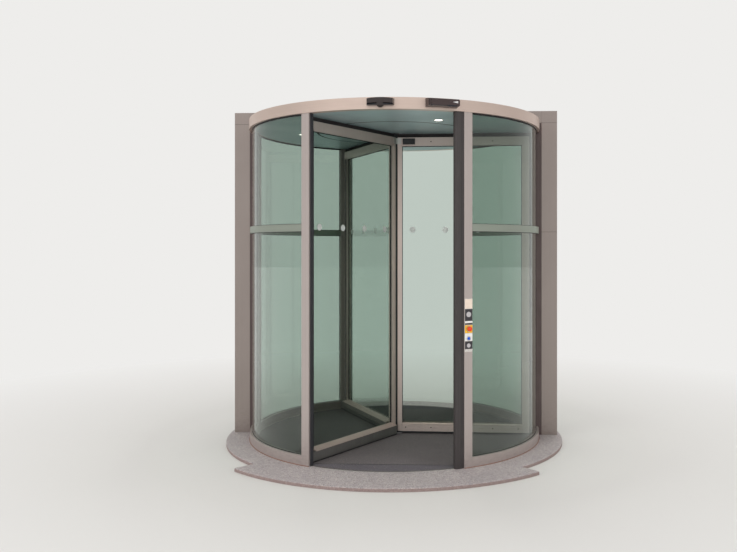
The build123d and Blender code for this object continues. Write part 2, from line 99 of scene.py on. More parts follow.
def fitting(node):
    """Angle, front distance and middle level of a node's fitting before the way in."""
    points = [vertex.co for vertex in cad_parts[node].data.vertices if vertex.co.y < 0]
    turns = [math.atan2(point.y, point.x) for point in points]
    angle = (min(turns) + max(turns)) / 2
    outward = Vector((math.cos(angle), math.sin(angle), 0.0))
    levels = [point.z for point in points]
    return angle, max(point.dot(outward) for point in points), (min(levels) + max(levels)) / 2


def thirds(node):
    """Middles of the three equal pieces of a node that stand round the axis."""
    points = [vertex.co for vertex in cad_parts[node].data.vertices]
    first = math.atan2(points[0].y, points[0].x)
    groups = ([], [], [])
    for point in points:
        turn = (math.atan2(point.y, point.x) - first) % math.tau
        groups[round(turn / math.tau * 3) % 3].append(point)
    return [sum(group, Vector()) / len(group) for group in groups]


# Levels and radii of the drum, read from the frame, in metres
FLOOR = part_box("entrance_mat")[1].z
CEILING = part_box("ceiling_ring")[0].z
FASCIA_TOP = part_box("fascia_front")[1].z
RAIL_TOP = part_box("bottom_rail_front_right")[1].z
MIDDLE_RAIL_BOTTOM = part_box("middle_rail_front_right")[0].z
MIDDLE_RAIL_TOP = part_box("middle_rail_front_right")[1].z
WALL_INNER, DRUM_RADIUS = radii("corner_post_front_right")
GLASS_INNER, GLASS_OUTER = radii("lower_glass_front_right")
FASCIA_RADIUS = radii("fascia_front")[1]
ROOF_RADIUS = radii("roof_cover")[1]
PLATE_FACE = radii("button_plate")[1]
WALLS = ("front_right", "rear_right", "rear_left", "front_left")

# Wings, with reaches measured from the axis along a wing
WING_ANGLES = {letter: heading(f"wing_glass_{letter}") for letter in "abc"}
WING_THICKNESS = 0.052
PANE_BITE = 0.012
PANE_THICKNESS = 0.008
WING_START, WING_REACH = wing_span("wing_frame_a", "a")
WING_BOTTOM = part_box("wing_frame_a")[0].z
WING_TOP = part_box("wing_frame_a")[1].z
SIGHT_START = wing_span("wing_glass_a", "a")[0] + PANE_BITE
SIGHT_END = wing_span("wing_glass_a", "a")[1] - PANE_BITE
SIGHT_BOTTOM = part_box("wing_glass_a")[0].z + PANE_BITE
SIGHT_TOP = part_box("wing_glass_a")[1].z - PANE_BITE
SEAL_START = 0.030
PIN_EDGE = 0.012
DOT_REACHES = (0.150, 0.426, 0.699, 0.975)
BRUSH_WIDTH = 0.011

# Soft lamps: name, place, side and power
LAMP_TARGET = Vector((0.0, 0.0, 1.3))
LAMPS = (
    ("key lamp", (-5.0, -6.8, 4.0), 6.0, 360.0),
    ("fill lamp", (6.0, -5.0, 3.2), 5.0, 130.0),
    ("top lamp", (0.5, 0.5, 7.0), 5.0, 70.0),
    ("rear lamp", (4.4, 6.6, 4.8), 5.0, 160.0),
    ("rear fill lamp", (-5.6, 5.2, 3.4), 5.0, 90.0),
)


def srgb(red, green, blue):
    """Linear colour for a colour as a screen shows it, from 0 to 255."""
    return tuple(((part / 255 + 0.055) / 1.055) ** 2.4 for part in (red, green, blue))


def colour_setting(name, description, screen_colour):
    """Colour property with its default given as a screen shows it."""
    return FloatVectorProperty(name=name, description=description, subtype="COLOR", size=3,
                               min=0.0, max=1.0, default=srgb(*screen_colour))


def length_setting(name, description, metres):
    """Length property in metres."""
    return FloatProperty(name=name, description=description, default=metres, min=0.0,
                         unit="LENGTH", precision=4)


class DoorColours(bpy.types.PropertyGroup):
    """Colours of the door's finishes"""

    fascia: colour_setting("Fascia", "Brushed metal of the curved band", (215, 195, 184))
    roof: colour_setting("Roof", "Satin metal of the roof cover", (172, 168, 165))
    posts: colour_setting("Posts", "Brushed metal of posts and bottom rails", (191, 180, 176))
    # The middle rails' colour is darker and greener than the posts': the metal's own tone with
    # painted shade on it
    rails: colour_setting("Middle rails", "Brushed metal of the middle rails", (156, 163, 152))
    covers: colour_setting("Covers", "Brushed metal of the jambs and the header", (158, 147, 142))
    wings: colour_setting("Wings", "Satin metal of the wing frames", (210, 194, 187))
    wing_covers: colour_setting("Wing covers", "Metal over the heel strips", (192, 172, 165))
    ceiling: colour_setting("Ceiling", "Satin metal of the ceiling", (178, 199, 203))
    steel: colour_setting("Steel", "Bright steel of brackets, lamps and collars", (196, 194, 190))
    screw: colour_setting("Screws", "Dull steel of the wings' screws", (104, 92, 88))
    dark_metal: colour_setting("Dark metal", "Black coat of axle and bearings", (34, 34, 36))
    rubber: colour_setting("Rubber", "Black glazing rubber", (26, 26, 30))
    gaskets: colour_setting("Post gaskets", "Dark rubber beside the posts", (48, 47, 52))
    sealant: colour_setting("Sealant", "Bead between the drum and the stone", (128, 97, 84))
    joints: colour_setting("Side joints", "Brown rubber between drum and covers", (84, 70, 69))
    safety: colour_setting("Safety edge", "Dark rubber of the safety edges", (58, 53, 53))
    heel: colour_setting("Heel strips", "Dark rubber low on the wings", (92, 90, 88))
    brush: colour_setting("Brush", "Bristles of the seals", (40, 36, 37))
    pane: colour_setting("Glass", "Tint of one pane of glass", (201, 214, 207))
    stone: colour_setting("Stone", "Ground colour of the granite", (154, 147, 148))
    mat: colour_setting("Mat", "Fibres of the entrance mat", (91, 86, 87))
    sill_mat: colour_setting("Outer mat", "Fibres of the mat before the openings", (85, 81, 86))
    sensor: colour_setting("Sensors", "Glossy plastic of the presence detectors", (56, 43, 43))
    motion_sensor: colour_setting("Motion sensors", "Gloss of the motion detectors", (44, 36, 36))
    window: colour_setting("Sensor window", "Dark window of the detectors", (18, 20, 30))
    tile: colour_setting("Dark tile", "Dark tiles of the button plate", (46, 43, 48))
    plate: colour_setting("Button plate", "Pale plate that carries the buttons", (206, 201, 196))
    cream: colour_setting("Cream tile", "Top tile of the button plate", (232, 214, 198))
    yellow: colour_setting("Yellow tile", "Square round the stop button", (244, 186, 20))
    stop: colour_setting("Stop button", "Red of the stop button", (226, 62, 34))
    call: colour_setting("Call button", "Blue of the call button", (18, 84, 206))


class DoorSizes(bpy.types.PropertyGroup):
    """Sizes of the small parts"""

    dot_diameter: length_setting("Dot", "Diameter of a sight dot on the wings' glass", 0.050)
    dot_level: length_setting("Dot level", "Height of the sight dots", 1.740)
    screw_radius: length_setting("Screw", "Radius of a screw's head", 0.0055)
    gasket_lip: length_setting("Gasket lip", "How far a glazing gasket shows", 0.004)
    joint_width: length_setting("Joint", "Width of a joint line between two sheets", 0.002)
    sealant_bead: length_setting("Sealant", "Size of the bead at the drum's foot", 0.006)
    ceiling_joint: length_setting("Ceiling joint", "Width of the ceiling's round joint", 0.016)
    heel_depth: length_setting("Heel depth", "How far a heel strip stands before its wing", 0.036)
    heel_top: length_setting("Heel top", "Height of a heel strip's top over the floor", 0.080)
    bristle_pitch: length_setting("Bristle pitch", "Distance between two bristles in a row", 0.003)
    rib_pitch: length_setting("Mat rib pitch", "Distance between two ribs of the mat", 0.010)
    rib_height: length_setting("Mat rib height", "Height of the mat's ribs", 0.0015)
    bristle_rows: IntProperty(name="Bristle rows", description="Rows of bristles in a brush",
                              default=4, min=1, max=8)


class StudioSettings(bpy.types.PropertyGroup):
    """Camera, lamps and background"""

    camera_place: FloatVectorProperty(name="Camera", description="Where the camera stands",
                                      subtype="TRANSLATION", size=3, unit="LENGTH",
                                      default=(0.386, -6.649, 1.585))
    camera_turn: FloatProperty(name="Camera turn", description="Turn of the camera to the left",
                               subtype="ANGLE", default=0.0381)
    focal_length: FloatProperty(name="Focal length", description="Focal length in millimetres",
                                default=38.48, min=10.0)
    shift_x: FloatProperty(name="Shift X", description="Sideways shift of the picture",
                           default=-0.0571)
    shift_y: FloatProperty(name="Shift Y", description="Upward shift of the picture",
                           default=-0.0379)
    ambient: FloatProperty(name="Ambient", description="Strength of the even light", default=0.85,
                           min=0.0)
    background: colour_setting("Background", "Pale background", (238, 237, 235))
    floor: colour_setting("Floor", "Pale studio floor", (198, 196, 193))


class Nodes:
    """Node tree of a material or world, filled with short calls."""

    def __init__(self, owner):
        owner.use_nodes = True
        self.tree = owner.node_tree
        self.tree.nodes.clear()
        self.vectors = {}

    def add(self, kind, **settings):
        """New node with some of its settings."""
        node = self.tree.nodes.new(kind)
        for setting, value in settings.items():
            setattr(node, setting, value)
        return node

    def join(self, source, target):
        """Link two sockets."""
        self.tree.links.new(source, target)

    def calculate(self, operation, first, second=None):
        """Result of a sum on sockets or numbers."""
        node = self.add("ShaderNodeMath", operation=operation)
        for socket, value in zip(node.inputs, (first, second)):
            if value is None:
                continue
            if isinstance(value, (int, float)):
                socket.default_value = value
            else:
                self.join(value, socket)
        return node.outputs[0]

    def coordinates(self, kind):
        """Place on the surface: straight is (x, y, z) and around is (arc, radius, z)."""
        if kind in self.vectors:
            return self.vectors[kind]
        place = self.add("ShaderNodeTexCoord").outputs["Object"]
        if kind == "around":
            parts = self.add("ShaderNodeSeparateXYZ")
            self.join(place, parts.inputs[0])
            x, y, z = parts.outputs
            angle = self.calculate("ARCTAN2", y, x)
            squares = self.calculate("ADD", self.calculate("POWER", x, 2.0),
                                     self.calculate("POWER", y, 2.0))
            whole = self.add("ShaderNodeCombineXYZ")
            self.join(self.calculate("MULTIPLY", angle, DRUM_RADIUS), whole.inputs[0])
            self.join(self.calculate("SQRT", squares), whole.inputs[1])
            self.join(z, whole.inputs[2])
            place = whole.outputs[0]
        self.vectors[kind] = place
        return place

    def scaled(self, per_metre, kind):
        """Coordinates multiplied by so many features per metre along each of them."""
        node = self.add("ShaderNodeVectorMath", operation="MULTIPLY")
        self.join(self.coordinates(kind), node.inputs[0])
        node.inputs[1].default_value = per_metre
        return node.outputs[0]

    def noise(self, per_metre, detail=2.0, kind="straight"):
        """Soft noise with so many features per metre along each coordinate."""
        node = self.add("ShaderNodeTexNoise")
        node.inputs["Scale"].default_value = 1.0
        node.inputs["Detail"].default_value = detail
        self.join(self.scaled(per_metre, kind), node.inputs["Vector"])
        return node.outputs[0]

    def grains(self, per_metre, kind="straight"):
        """Cells with a random value each, such as the grains of a stone."""
        node = self.add("ShaderNodeTexVoronoi")
        node.inputs["Scale"].default_value = 1.0
        self.join(self.scaled(per_metre, kind), node.inputs["Vector"])
        parts = self.add("ShaderNodeSeparateColor")
        self.join(node.outputs["Color"], parts.inputs[0])
        return parts.outputs[0]

    def spread(self, source, low, high, start=0.3, end=0.7):
        """The source's range from start to end stretched to low and high."""
        node = self.add("ShaderNodeMapRange")
        self.join(source, node.inputs["Value"])
        for socket, value in (("From Min", start), ("From Max", end), ("To Min", low),
                              ("To Max", high)):
            node.inputs[socket].default_value = value
        return node.outputs[0]

    def seen_rays(self):
        """1 on the rays that show the studio's background, 0 on those that only light."""
        path = self.add("ShaderNodeLightPath")
        either = self.calculate("MAXIMUM", path.outputs["Is Camera Ray"],
                                path.outputs["Is Glossy Ray"])
        return self.calculate("MAXIMUM", either, path.outputs["Is Transmission Ray"])


class Finish(Nodes):
    """Material with one Principled shader, built up one pattern at a time."""

    def __init__(self, name, colour, roughness, metallic=0.0, **sockets):
        self.material = bpy.data.materials.new(name)
        super().__init__(self.material)
        self.output = self.add("ShaderNodeOutputMaterial")
        self.shader = self.add("ShaderNodeBsdfPrincipled")
        self.join(self.shader.outputs["BSDF"], self.output.inputs["Surface"])
        self.shader.inputs["Base Color"].default_value = (*colour, 1.0)
        self.shader.inputs["Roughness"].default_value = roughness
        self.shader.inputs["Metallic"].default_value = metallic
        for socket, value in sockets.items():
            self.shader.inputs[socket.replace("_", " ")].default_value = value
        self.colour = tuple(colour)

    def height(self):
        """Height over the origin."""
        parts = self.add("ShaderNodeSeparateXYZ")
        self.join(self.coordinates("straight"), parts.inputs[0])
        return parts.outputs[2]

    def tint(self, share, colour):
        """Mix the surface colour so far with another, by a share from 0 to 1."""
        node = self.add("ShaderNodeMix", data_type="RGBA")
        base = self.shader.inputs["Base Color"]
        if base.is_linked:
            self.join(base.links[0].from_socket, node.inputs[FIRST_COLOUR])
        else:
            node.inputs[FIRST_COLOUR].default_value = base.default_value
        node.inputs[SECOND_COLOUR].default_value = (*colour, 1.0)
        self.join(share, node.inputs[SHARE])
        self.join(node.outputs[MIXED_COLOUR], base)

    def shade(self, share, factor):
        """Mix the surface colour so far with the finish's own colour times a factor."""
        self.tint(share, tuple(min(1.0, part * factor) for part in self.colour))

    def roughen(self, source, low, high):
        """Roughness between two values."""
        self.join(self.spread(source, low, high), self.shader.inputs["Roughness"])

    def relief(self, height, distance, strength=0.5):
        """Relief of so many metres, over the relief so far."""
        node = self.add("ShaderNodeBump")
        node.inputs["Strength"].default_value = strength
        node.inputs["Distance"].default_value = distance
        self.join(height, node.inputs["Height"])
        normal = self.shader.inputs["Normal"]
        if normal.is_linked:
            self.join(normal.links[0].from_socket, node.inputs["Normal"])
        self.join(node.outputs[0], normal)


def brushed_metal(name, colour, grain, roughness=0.44, metallic=0.75):
    """Brushed metal: fine grain, broad soft streaks, and faint darker patches near the floor.

    The grain runs upright, around the drum, along the facade or as on a wing's rails.
    """
    finish = Finish(name, colour, roughness, metallic)
    kinds = {
        "upright": ("straight", (1.0, 1.0, 0.006)),
        "around": ("around", (0.006, 1.0, 1.0)),
        "level": ("straight", (0.006, 1.0, 1.0)),
        "wing": ("around", (1.0, 0.012, 1.0)),
    }
    kind, stretch = kinds[grain]
    fine = finish.noise([1600 * part for part in stretch], 2.0, kind)
    broad = finish.noise([70 * part for part in stretch], 3.0, kind)
    cloudy = finish.noise((3.0, 3.0, 3.0), 3.0)
    finish.shade(finish.spread(fine, 0.0, 0.35), 0.88)
    finish.shade(finish.spread(broad, 0.0, 0.5), 0.90)
    finish.shade(finish.spread(cloudy, 0.0, 0.35), 1.08)
    # Darker in noisy patches towards the floor, fading out 0.30 m above it
    low = finish.spread(finish.height(), 0.5, 0.0, FLOOR, FLOOR + 0.30)
    low_patches = finish.spread(finish.noise((26.0, 26.0, 60.0), 4.0), 0.0, 1.0, 0.45, 0.75)
    finish.shade(finish.calculate("MULTIPLY", low, low_patches), 0.70)
    finish.roughen(fine, roughness - 0.05, roughness + 0.09)
    finish.relief(fine, 0.00006, 0.35)
    return finish.material


def satin_metal(name, colour, roughness=0.42, metallic=0.8):
    """Satin metal with an even fine grain and soft clouds."""
    finish = Finish(name, colour, roughness, metallic)
    fine = finish.noise((900.0, 900.0, 900.0), 2.0)
    cloudy = finish.noise((4.0, 4.0, 4.0), 3.0)
    finish.shade(finish.spread(fine, 0.0, 0.3), 0.9)
    finish.shade(finish.spread(cloudy, 0.0, 0.4), 0.93)
    finish.roughen(cloudy, roughness - 0.06, roughness + 0.08)
    finish.relief(fine, 0.00004, 0.3)
    return finish.material


def coated_metal(name, colour):
    """Black coated metal with a fine orange-peel skin and rubbed spots."""
    finish = Finish(name, colour, 0.38)
    skin = finish.noise((700.0, 700.0, 700.0), 2.0)
    rubbed = finish.noise((35.0, 35.0, 35.0), 4.0)
    finish.shade(finish.spread(rubbed, 0.0, 0.6, 0.55, 0.8), 1.8)
    finish.roughen(skin, 0.30, 0.50)
    finish.relief(skin, 0.00008, 0.4)
    return finish.material


def rubber(name, colour, roughness=0.62):
    """Matt rubber with upright drawn streaks, dust and a fine pebbled skin."""
    finish = Finish(name, colour, roughness)
    streaks = finish.noise((240.0, 240.0, 1.2), 3.0)
    dust = finish.noise((18.0, 18.0, 8.0), 5.0)
    skin = finish.noise((1400.0, 1400.0, 1400.0), 1.0)
    finish.shade(finish.spread(streaks, 0.0, 0.7), 0.80)
    finish.shade(finish.spread(dust, 0.0, 0.5, 0.5, 0.75), 1.35)
    finish.roughen(streaks, roughness - 0.10, roughness + 0.12)
    finish.relief(skin, 0.00010, 0.4)
    return finish.material


def moulded_plastic(name, colour, roughness):
    """Moulded plastic with a faint texture, slight clouds and a few fine scratches."""
    finish = Finish(name, colour, roughness)
    skin = finish.noise((1100.0, 1100.0, 1100.0), 1.0)
    cloudy = finish.noise((30.0, 30.0, 30.0), 3.0)
    scratches = finish.noise((90.0, 90.0, 1800.0), 3.0)
    finish.shade(finish.spread(cloudy, 0.0, 0.5), 0.85)
    finish.shade(finish.spread(scratches, 0.0, 0.3, 0.66, 0.8), 1.25)
    finish.roughen(cloudy, max(0.04, roughness - 0.05), roughness + 0.08)
    finish.relief(skin, 0.00005, 0.3)
    return finish.material


def bristles_finish(name, colour):
    """Dark bristles with a streak for each tuft."""
    finish = Finish(name, colour, 0.7)
    tufts = finish.noise((500.0, 500.0, 500.0), 2.0)
    finish.shade(finish.spread(tufts, 0.0, 1.0), 1.9)
    finish.roughen(tufts, 0.55, 0.85)
    finish.relief(tufts, 0.0006, 0.6)
    return finish.material


def granite(name, colour):
    """Pale granite: feldspar and quartz grains, dark specks, and sides darkened brown, partly a
    stain and partly painted shade.
    """
    finish = Finish(name, colour, 0.72)
    blotches = finish.noise((55.0, 55.0, 55.0), 3.0)
    coarse = finish.grains((110.0, 110.0, 110.0))
    small = finish.grains((330.0, 330.0, 330.0))
    stains = finish.noise((1.6, 1.6, 1.6), 4.0)
    finish.tint(finish.spread(blotches, 0.0, 0.45, 0.50, 0.66), srgb(190, 184, 184))
    finish.tint(finish.spread(blotches, 0.45, 0.0, 0.36, 0.50), srgb(138, 132, 135))
    finish.tint(finish.spread(coarse, 0.0, 0.5, 0.55, 0.85), srgb(202, 194, 191))
    finish.tint(finish.spread(coarse, 0.5, 0.0, 0.05, 0.30), srgb(126, 121, 125))
    finish.tint(finish.spread(small, 0.0, 0.5, 0.60, 0.85), srgb(180, 160, 154))
    finish.tint(finish.spread(small, 0.9, 0.0, 0.08, 0.16), srgb(70, 67, 70))
    finish.shade(finish.spread(stains, 0.0, 0.35), 0.82)
    # Painted shade with a brown stain: everything from a few millimetres under the step's top down
    # is tinted brown
    riser_shade_and_stain = finish.spread(finish.height(), 0.6, 0.0, FLOOR - 0.005, FLOOR - 0.003)
    finish.tint(riser_shade_and_stain, srgb(124, 98, 90))
    finish.roughen(coarse, 0.60, 0.85)
    finish.relief(coarse, 0.0003, 0.4)
    finish.relief(finish.noise((260.0, 260.0, 260.0), 4.0), 0.0004, 0.4)
    return finish.material


def fibre_mat(name, colour):
    """Coarse mat fibres with sand trodden in and a slightly faded walking line."""
    finish = Finish(name, colour, 0.92)
    fibres = finish.noise((330.0, 330.0, 330.0), 4.0)
    loops = finish.grains((240.0, 120.0, 240.0))
    sand = finish.grains((560.0, 560.0, 560.0))
    worn = finish.noise((2.2, 2.2, 2.2), 4.0)
    tufts = finish.noise((55.0, 90.0, 90.0), 3.0)
    finish.shade(finish.spread(tufts, 0.0, 0.55), 0.70)
    finish.shade(finish.spread(fibres, 0.0, 0.7), 0.66)
    finish.shade(finish.spread(loops, 0.0, 0.5, 0.4, 0.9), 1.30)
    finish.tint(finish.spread(sand, 0.7, 0.0, 0.0, 0.03), srgb(176, 160, 142))
    finish.shade(finish.spread(worn, 0.0, 0.4), 1.30)
    finish.relief(fibres, 0.001, 0.6)
    return finish.material


def clear_glass(name, colour):
    """Tinted glass that lets lamps through, a shade darker in soft clouds."""
    finish = Finish(name, colour, 0.0, IOR=1.5, Transmission_Weight=1.0)
    clouds = finish.noise((1.2, 1.2, 0.6), 1.0)
    finish.shade(finish.spread(clouds, 0.0, 0.5), 0.96)
    clear = finish.add("ShaderNodeBsdfTransparent")
    clear.inputs["Color"].default_value = (*[math.sqrt(part) for part in colour], 1.0)
    path = finish.add("ShaderNodeLightPath")
    either = finish.add("ShaderNodeMixShader")
    finish.join(path.outputs["Is Shadow Ray"], either.inputs[0])
    finish.join(finish.shader.outputs["BSDF"], either.inputs[1])
    finish.join(clear.outputs["BSDF"], either.inputs[2])
    finish.join(either.outputs["Shader"], finish.output.inputs["Surface"])
    return finish.material


def frosted_film(name):
    """Pale frosted film of the sight dots, which lets some light through."""
    finish = Finish(name, srgb(236, 238, 236), 0.6, Transmission_Weight=0.35)
    specks = finish.noise((900.0, 900.0, 900.0), 2.0)
    finish.shade(finish.spread(specks, 0.0, 0.5), 0.9)
    finish.roughen(specks, 0.5, 0.75)
    return finish.material


def lamp_glass(name):
    """Lit lens of a downlight: bright and slightly warm, with a fine pattern."""
    finish = Finish(name, (0.9, 0.9, 0.88), 0.3)
    pattern = finish.noise((600.0, 600.0, 600.0), 1.0)
    finish.shade(finish.spread(pattern, 0.0, 0.4), 0.9)
    finish.shader.inputs["Emission Color"].default_value = (1.0, 0.96, 0.90, 1.0)
    finish.shader.inputs["Emission Strength"].default_value = 6.0
    return finish.material


def paint_nodes(material, *names):
    """Give nodes of the frame a material in every slot."""
    for name in names:
        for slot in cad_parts[name].material_slots:
            slot.material = material


def ring_place(angle, radius=0.0, level=0.0):
    """Place on the drum: x sideways, y up and z outward."""
    outward = Vector((math.cos(angle), math.sin(angle), 0.0))
    sideways = Vector((-math.sin(angle), math.cos(angle), 0.0))
    up = Vector((0.0, 0.0, 1.0))
    place = Matrix((sideways, up, outward)).transposed().to_4x4()
    place.translation = outward * radius + up * level
    return place


def wing_place(letter):
    """Place on a wing: x outward along it, y across it and z up, from the axis."""
    return Matrix.Rotation(WING_ANGLES[letter], 4, "Z")


def add_wing_bar(bm, letter, section, start, end):
    """Bar along a wing from a closed section of points (before the wing's middle, height)."""
    add_prism(bm, section, start, end, wing_place(letter) @ LAID)


def wing_face(letter, side, reach, level):
    """Place on a wing's face: x along it, y up and z away from it. Side 1 leads, -1 trails."""
    normal = Vector((0.0, float(side), 0.0))
    along = Vector((-float(side), 0.0, 0.0))
    place = Matrix((along, Vector((0.0, 0.0, 1.0)), normal)).transposed().to_4x4()
    place.translation = Vector((reach, side * WING_THICKNESS / 2, level))
    return wing_place(letter) @ place


def rounded_outline(width, height, radius, steps=4):
    """Points of a rectangle with round corners, about its middle."""
    points = []
    for corner in range(4):
        turn = corner * math.pi / 2
        x = (width / 2 - radius) * (1 if corner in (0, 3) else -1)
        y = (height / 2 - radius) * (1 if corner in (0, 1) else -1)
        for step in range(steps + 1):
            angle = turn + step / steps * math.pi / 2
            points.append((x + radius * math.cos(angle), y + radius * math.sin(angle)))
    return points


def box_outline(left, right, bottom, top):
    """Corners of a rectangle, counter-clockwise."""
    return [(left, bottom), (right, bottom), (right, top), (left, top)]


def add_prism(bm, outline, bottom, top, place=Matrix()):
    """Prism over an outline in x and y, from one z to another."""
    lower = [bm.verts.new(place @ Vector((x, y, bottom))) for x, y in outline]
    upper = [bm.verts.new(place @ Vector((x, y, top))) for x, y in outline]
    bm.faces.new(reversed(lower))
    bm.faces.new(upper)
    for index in range(len(outline)):
        after = (index + 1) % len(outline)
        bm.faces.new((lower[index], lower[after], upper[after], upper[index]))


def add_turned(bm, profile, place=Matrix(), steps=24):
    """Turned solid about z from (radius, height) points that start and end on the axis."""
    rings = []
    for radius, height in profile:
        if radius < 1e-7:
            rings.append([bm.verts.new(place @ Vector((0.0, 0.0, height)))])
            continue
        ring = []
        for step in range(steps):
            angle = step * math.tau / steps
            point = Vector((radius * math.cos(angle), radius * math.sin(angle), height))
            ring.append(bm.verts.new(place @ point))
        rings.append(ring)
    for lower, upper in zip(rings, rings[1:]):
        for step in range(steps):
            after = (step + 1) % steps
            corners = [lower[step % len(lower)], lower[after % len(lower)],
                       upper[after % len(upper)], upper[step % len(upper)]]
            bm.faces.new(list(dict.fromkeys(corners)))


def add_hoop(bm, section, place=Matrix(), steps=32):
    """Closed ring about z from a section of (radius, height) points."""
    rings = []
    for step in range(steps):
        angle = step * math.tau / steps
        rings.append([bm.verts.new(place @ Vector((radius * math.cos(angle),
                                                   radius * math.sin(angle), height)))
                      for radius, height in section])
    for step in range(steps):
        first, second = rings[step], rings[(step + 1) % steps]
        for index in range(len(section)):
            after = (index + 1) % len(section)
            bm.faces.new((first[index], first[after], second[after], second[index]))


def add_curved_bar(bm, section, start, end, steps=32):
    """Bar about the door's axis from a closed section of (radius, z) points."""
    rings = []
    for step in range(steps + 1):
        angle = start + (end - start) * step / steps
        rings.append([bm.verts.new(Vector((radius * math.cos(angle), radius * math.sin(angle), z)))
                      for radius, z in section])
    for first, second in zip(rings, rings[1:]):
        for index in range(len(section)):
            after = (index + 1) % len(section)
            bm.faces.new((first[index], first[after], second[after], second[index]))
    bm.faces.new(rings[0])
    bm.faces.new(list(reversed(rings[-1])))


def add_bristle(bm, place, foot, tip, along, across, tip_across):
    """Bristle on a wing from foot to tip, both as (reach, height) with a shift sideways."""
    half = 0.0006
    points = (
        Vector((foot.x + along.x * half, across, foot.y + along.y * half)),
        Vector((foot.x - along.x * half, across - half, foot.y - along.y * half)),
        Vector((foot.x - along.x * half, across + half, foot.y - along.y * half)),
        Vector((tip.x, tip_across, tip.y)),
    )
    corners = [bm.verts.new(place @ point) for point in points]
    for trio in ((0, 1, 3), (1, 2, 3), (2, 0, 3), (0, 2, 1)):
        bm.faces.new([corners[corner] for corner in trio])


def grow_bristles(bm, place, draw, strip, rows, pitch, limit):
    """Rows of bristles on a strip of (first foot, last foot, way, length), up to a reach."""
    first, last, way, length = strip
    stray, lean, splay = 0.2, 0.0015, 0.001
    run = Vector((last[0] - first[0], last[1] - first[1]))
    along = run.normalized()
    for row in range(rows):
        across = ((row + 0.5) / rows - 0.5) * BRUSH_WIDTH
        for index in range(int(run.length / pitch)):
            step = index + 0.5 * (row % 2) + draw.uniform(-stray, stray)
            foot = Vector(first) + along * (step * pitch)
            reach = length * draw.uniform(0.9, 1.0)
            tip = foot + Vector(way) * reach + along * draw.uniform(-lean, lean)
            tip.x = min(tip.x, limit)
            add_bristle(bm, place, foot, tip, along, across,
                        across + draw.uniform(-splay, splay))


def make_piece(name, bm, body, material, stands_for=(), edge=0.0):
    """Turn a finished mesh into a piece that rides on a body, with its edges eased."""
    bmesh.ops.recalc_face_normals(bm, faces=bm.faces)
    mesh = bpy.data.meshes.new(name)
    bm.to_mesh(mesh)
    bm.free()
    mesh.materials.append(material)
    mesh.shade_smooth()
    mesh.set_sharp_from_angle(angle=math.radians(35))
    piece = bpy.data.objects.new(name, mesh)
    bpy.context.scene.collection.objects.link(piece)
    if edge:
        bevel = piece.modifiers.new("eased edges", "BEVEL")
        bevel.width = edge
        bevel.segments = 2
        bevel.limit_method = "ANGLE"
        bevel.harden_normals = True
    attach(piece, body)
    if stands_for:
        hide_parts(*stands_for)


def add_screw(bm, place, radius):
    """Screw head with an eased rim and a round socket."""
    rise = radius * 0.22
    socket = radius * 0.45
    add_turned(bm, [(0.0, -rise), (radius, -rise), (radius, 0.4 * rise), (radius * 0.9, rise),
                    (socket, rise), (socket * 0.9, 0.1 * rise), (0.0, 0.1 * rise)], place, steps=18)


class DOOR_OT_metal(bpy.types.Operator):
    """Finish the posts, curved rails, fascia and facade covers, with their joint lines"""

    bl_idname = "door.metal"
    bl_label = "Posts, rails and covers"

    def execute(self, context):
        colours, sizes = context.scene.door_colours, context.scene.door_sizes
        upright = brushed_metal("post metal", colours.posts, "upright")
        bottom = brushed_metal("bottom rail metal", colours.posts, "around")
        # Middle rails: their darker, greener colour carries painted shade
        middle = brushed_metal("middle rail metal with painted shade", colours.rails, "around")
        covers = brushed_metal("cover metal", colours.covers, "upright")
        level = brushed_metal("header metal", colours.covers, "level")
        fascia = brushed_metal("fascia metal", colours.fascia, "around", roughness=0.38)
        paint_nodes(upright, *[f"corner_post_{wall}" for wall in WALLS], "side_post_left",
                    "side_post_right")
        paint_nodes(bottom, *[f"bottom_rail_{wall}" for wall in WALLS])
        paint_nodes(middle, *[f"middle_rail_{wall}" for wall in WALLS])
        paint_nodes(covers, "jamb_left", "jamb_right")
        paint_nodes(level, "header_panel")
        paint_nodes(fascia, "fascia_front", "fascia_rear")
        joint = rubber("joint shadow", colours.rubber)
        bm = bmesh.new()
        proud, corner, half = 0.0002, 0.002, sizes.joint_width / 2
        side_joint = FLOOR + 1.695
        for node, heights in (("jamb_left", [FASCIA_TOP]),
                              ("jamb_right", [FASCIA_TOP, side_joint])):
            low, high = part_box(node)
            centre = (low + high) / 2
            outline = rounded_outline(high.x - low.x + 2 * proud, high.y - low.y + 2 * proud,
                                      corner)
            for height in heights:
                add_prism(bm, outline, height - half, height + half,
                          Matrix.Translation((centre.x, centre.y, 0.0)))
        make_piece("jamb_joints", bm, DRUM, joint)
        return {"FINISHED"}


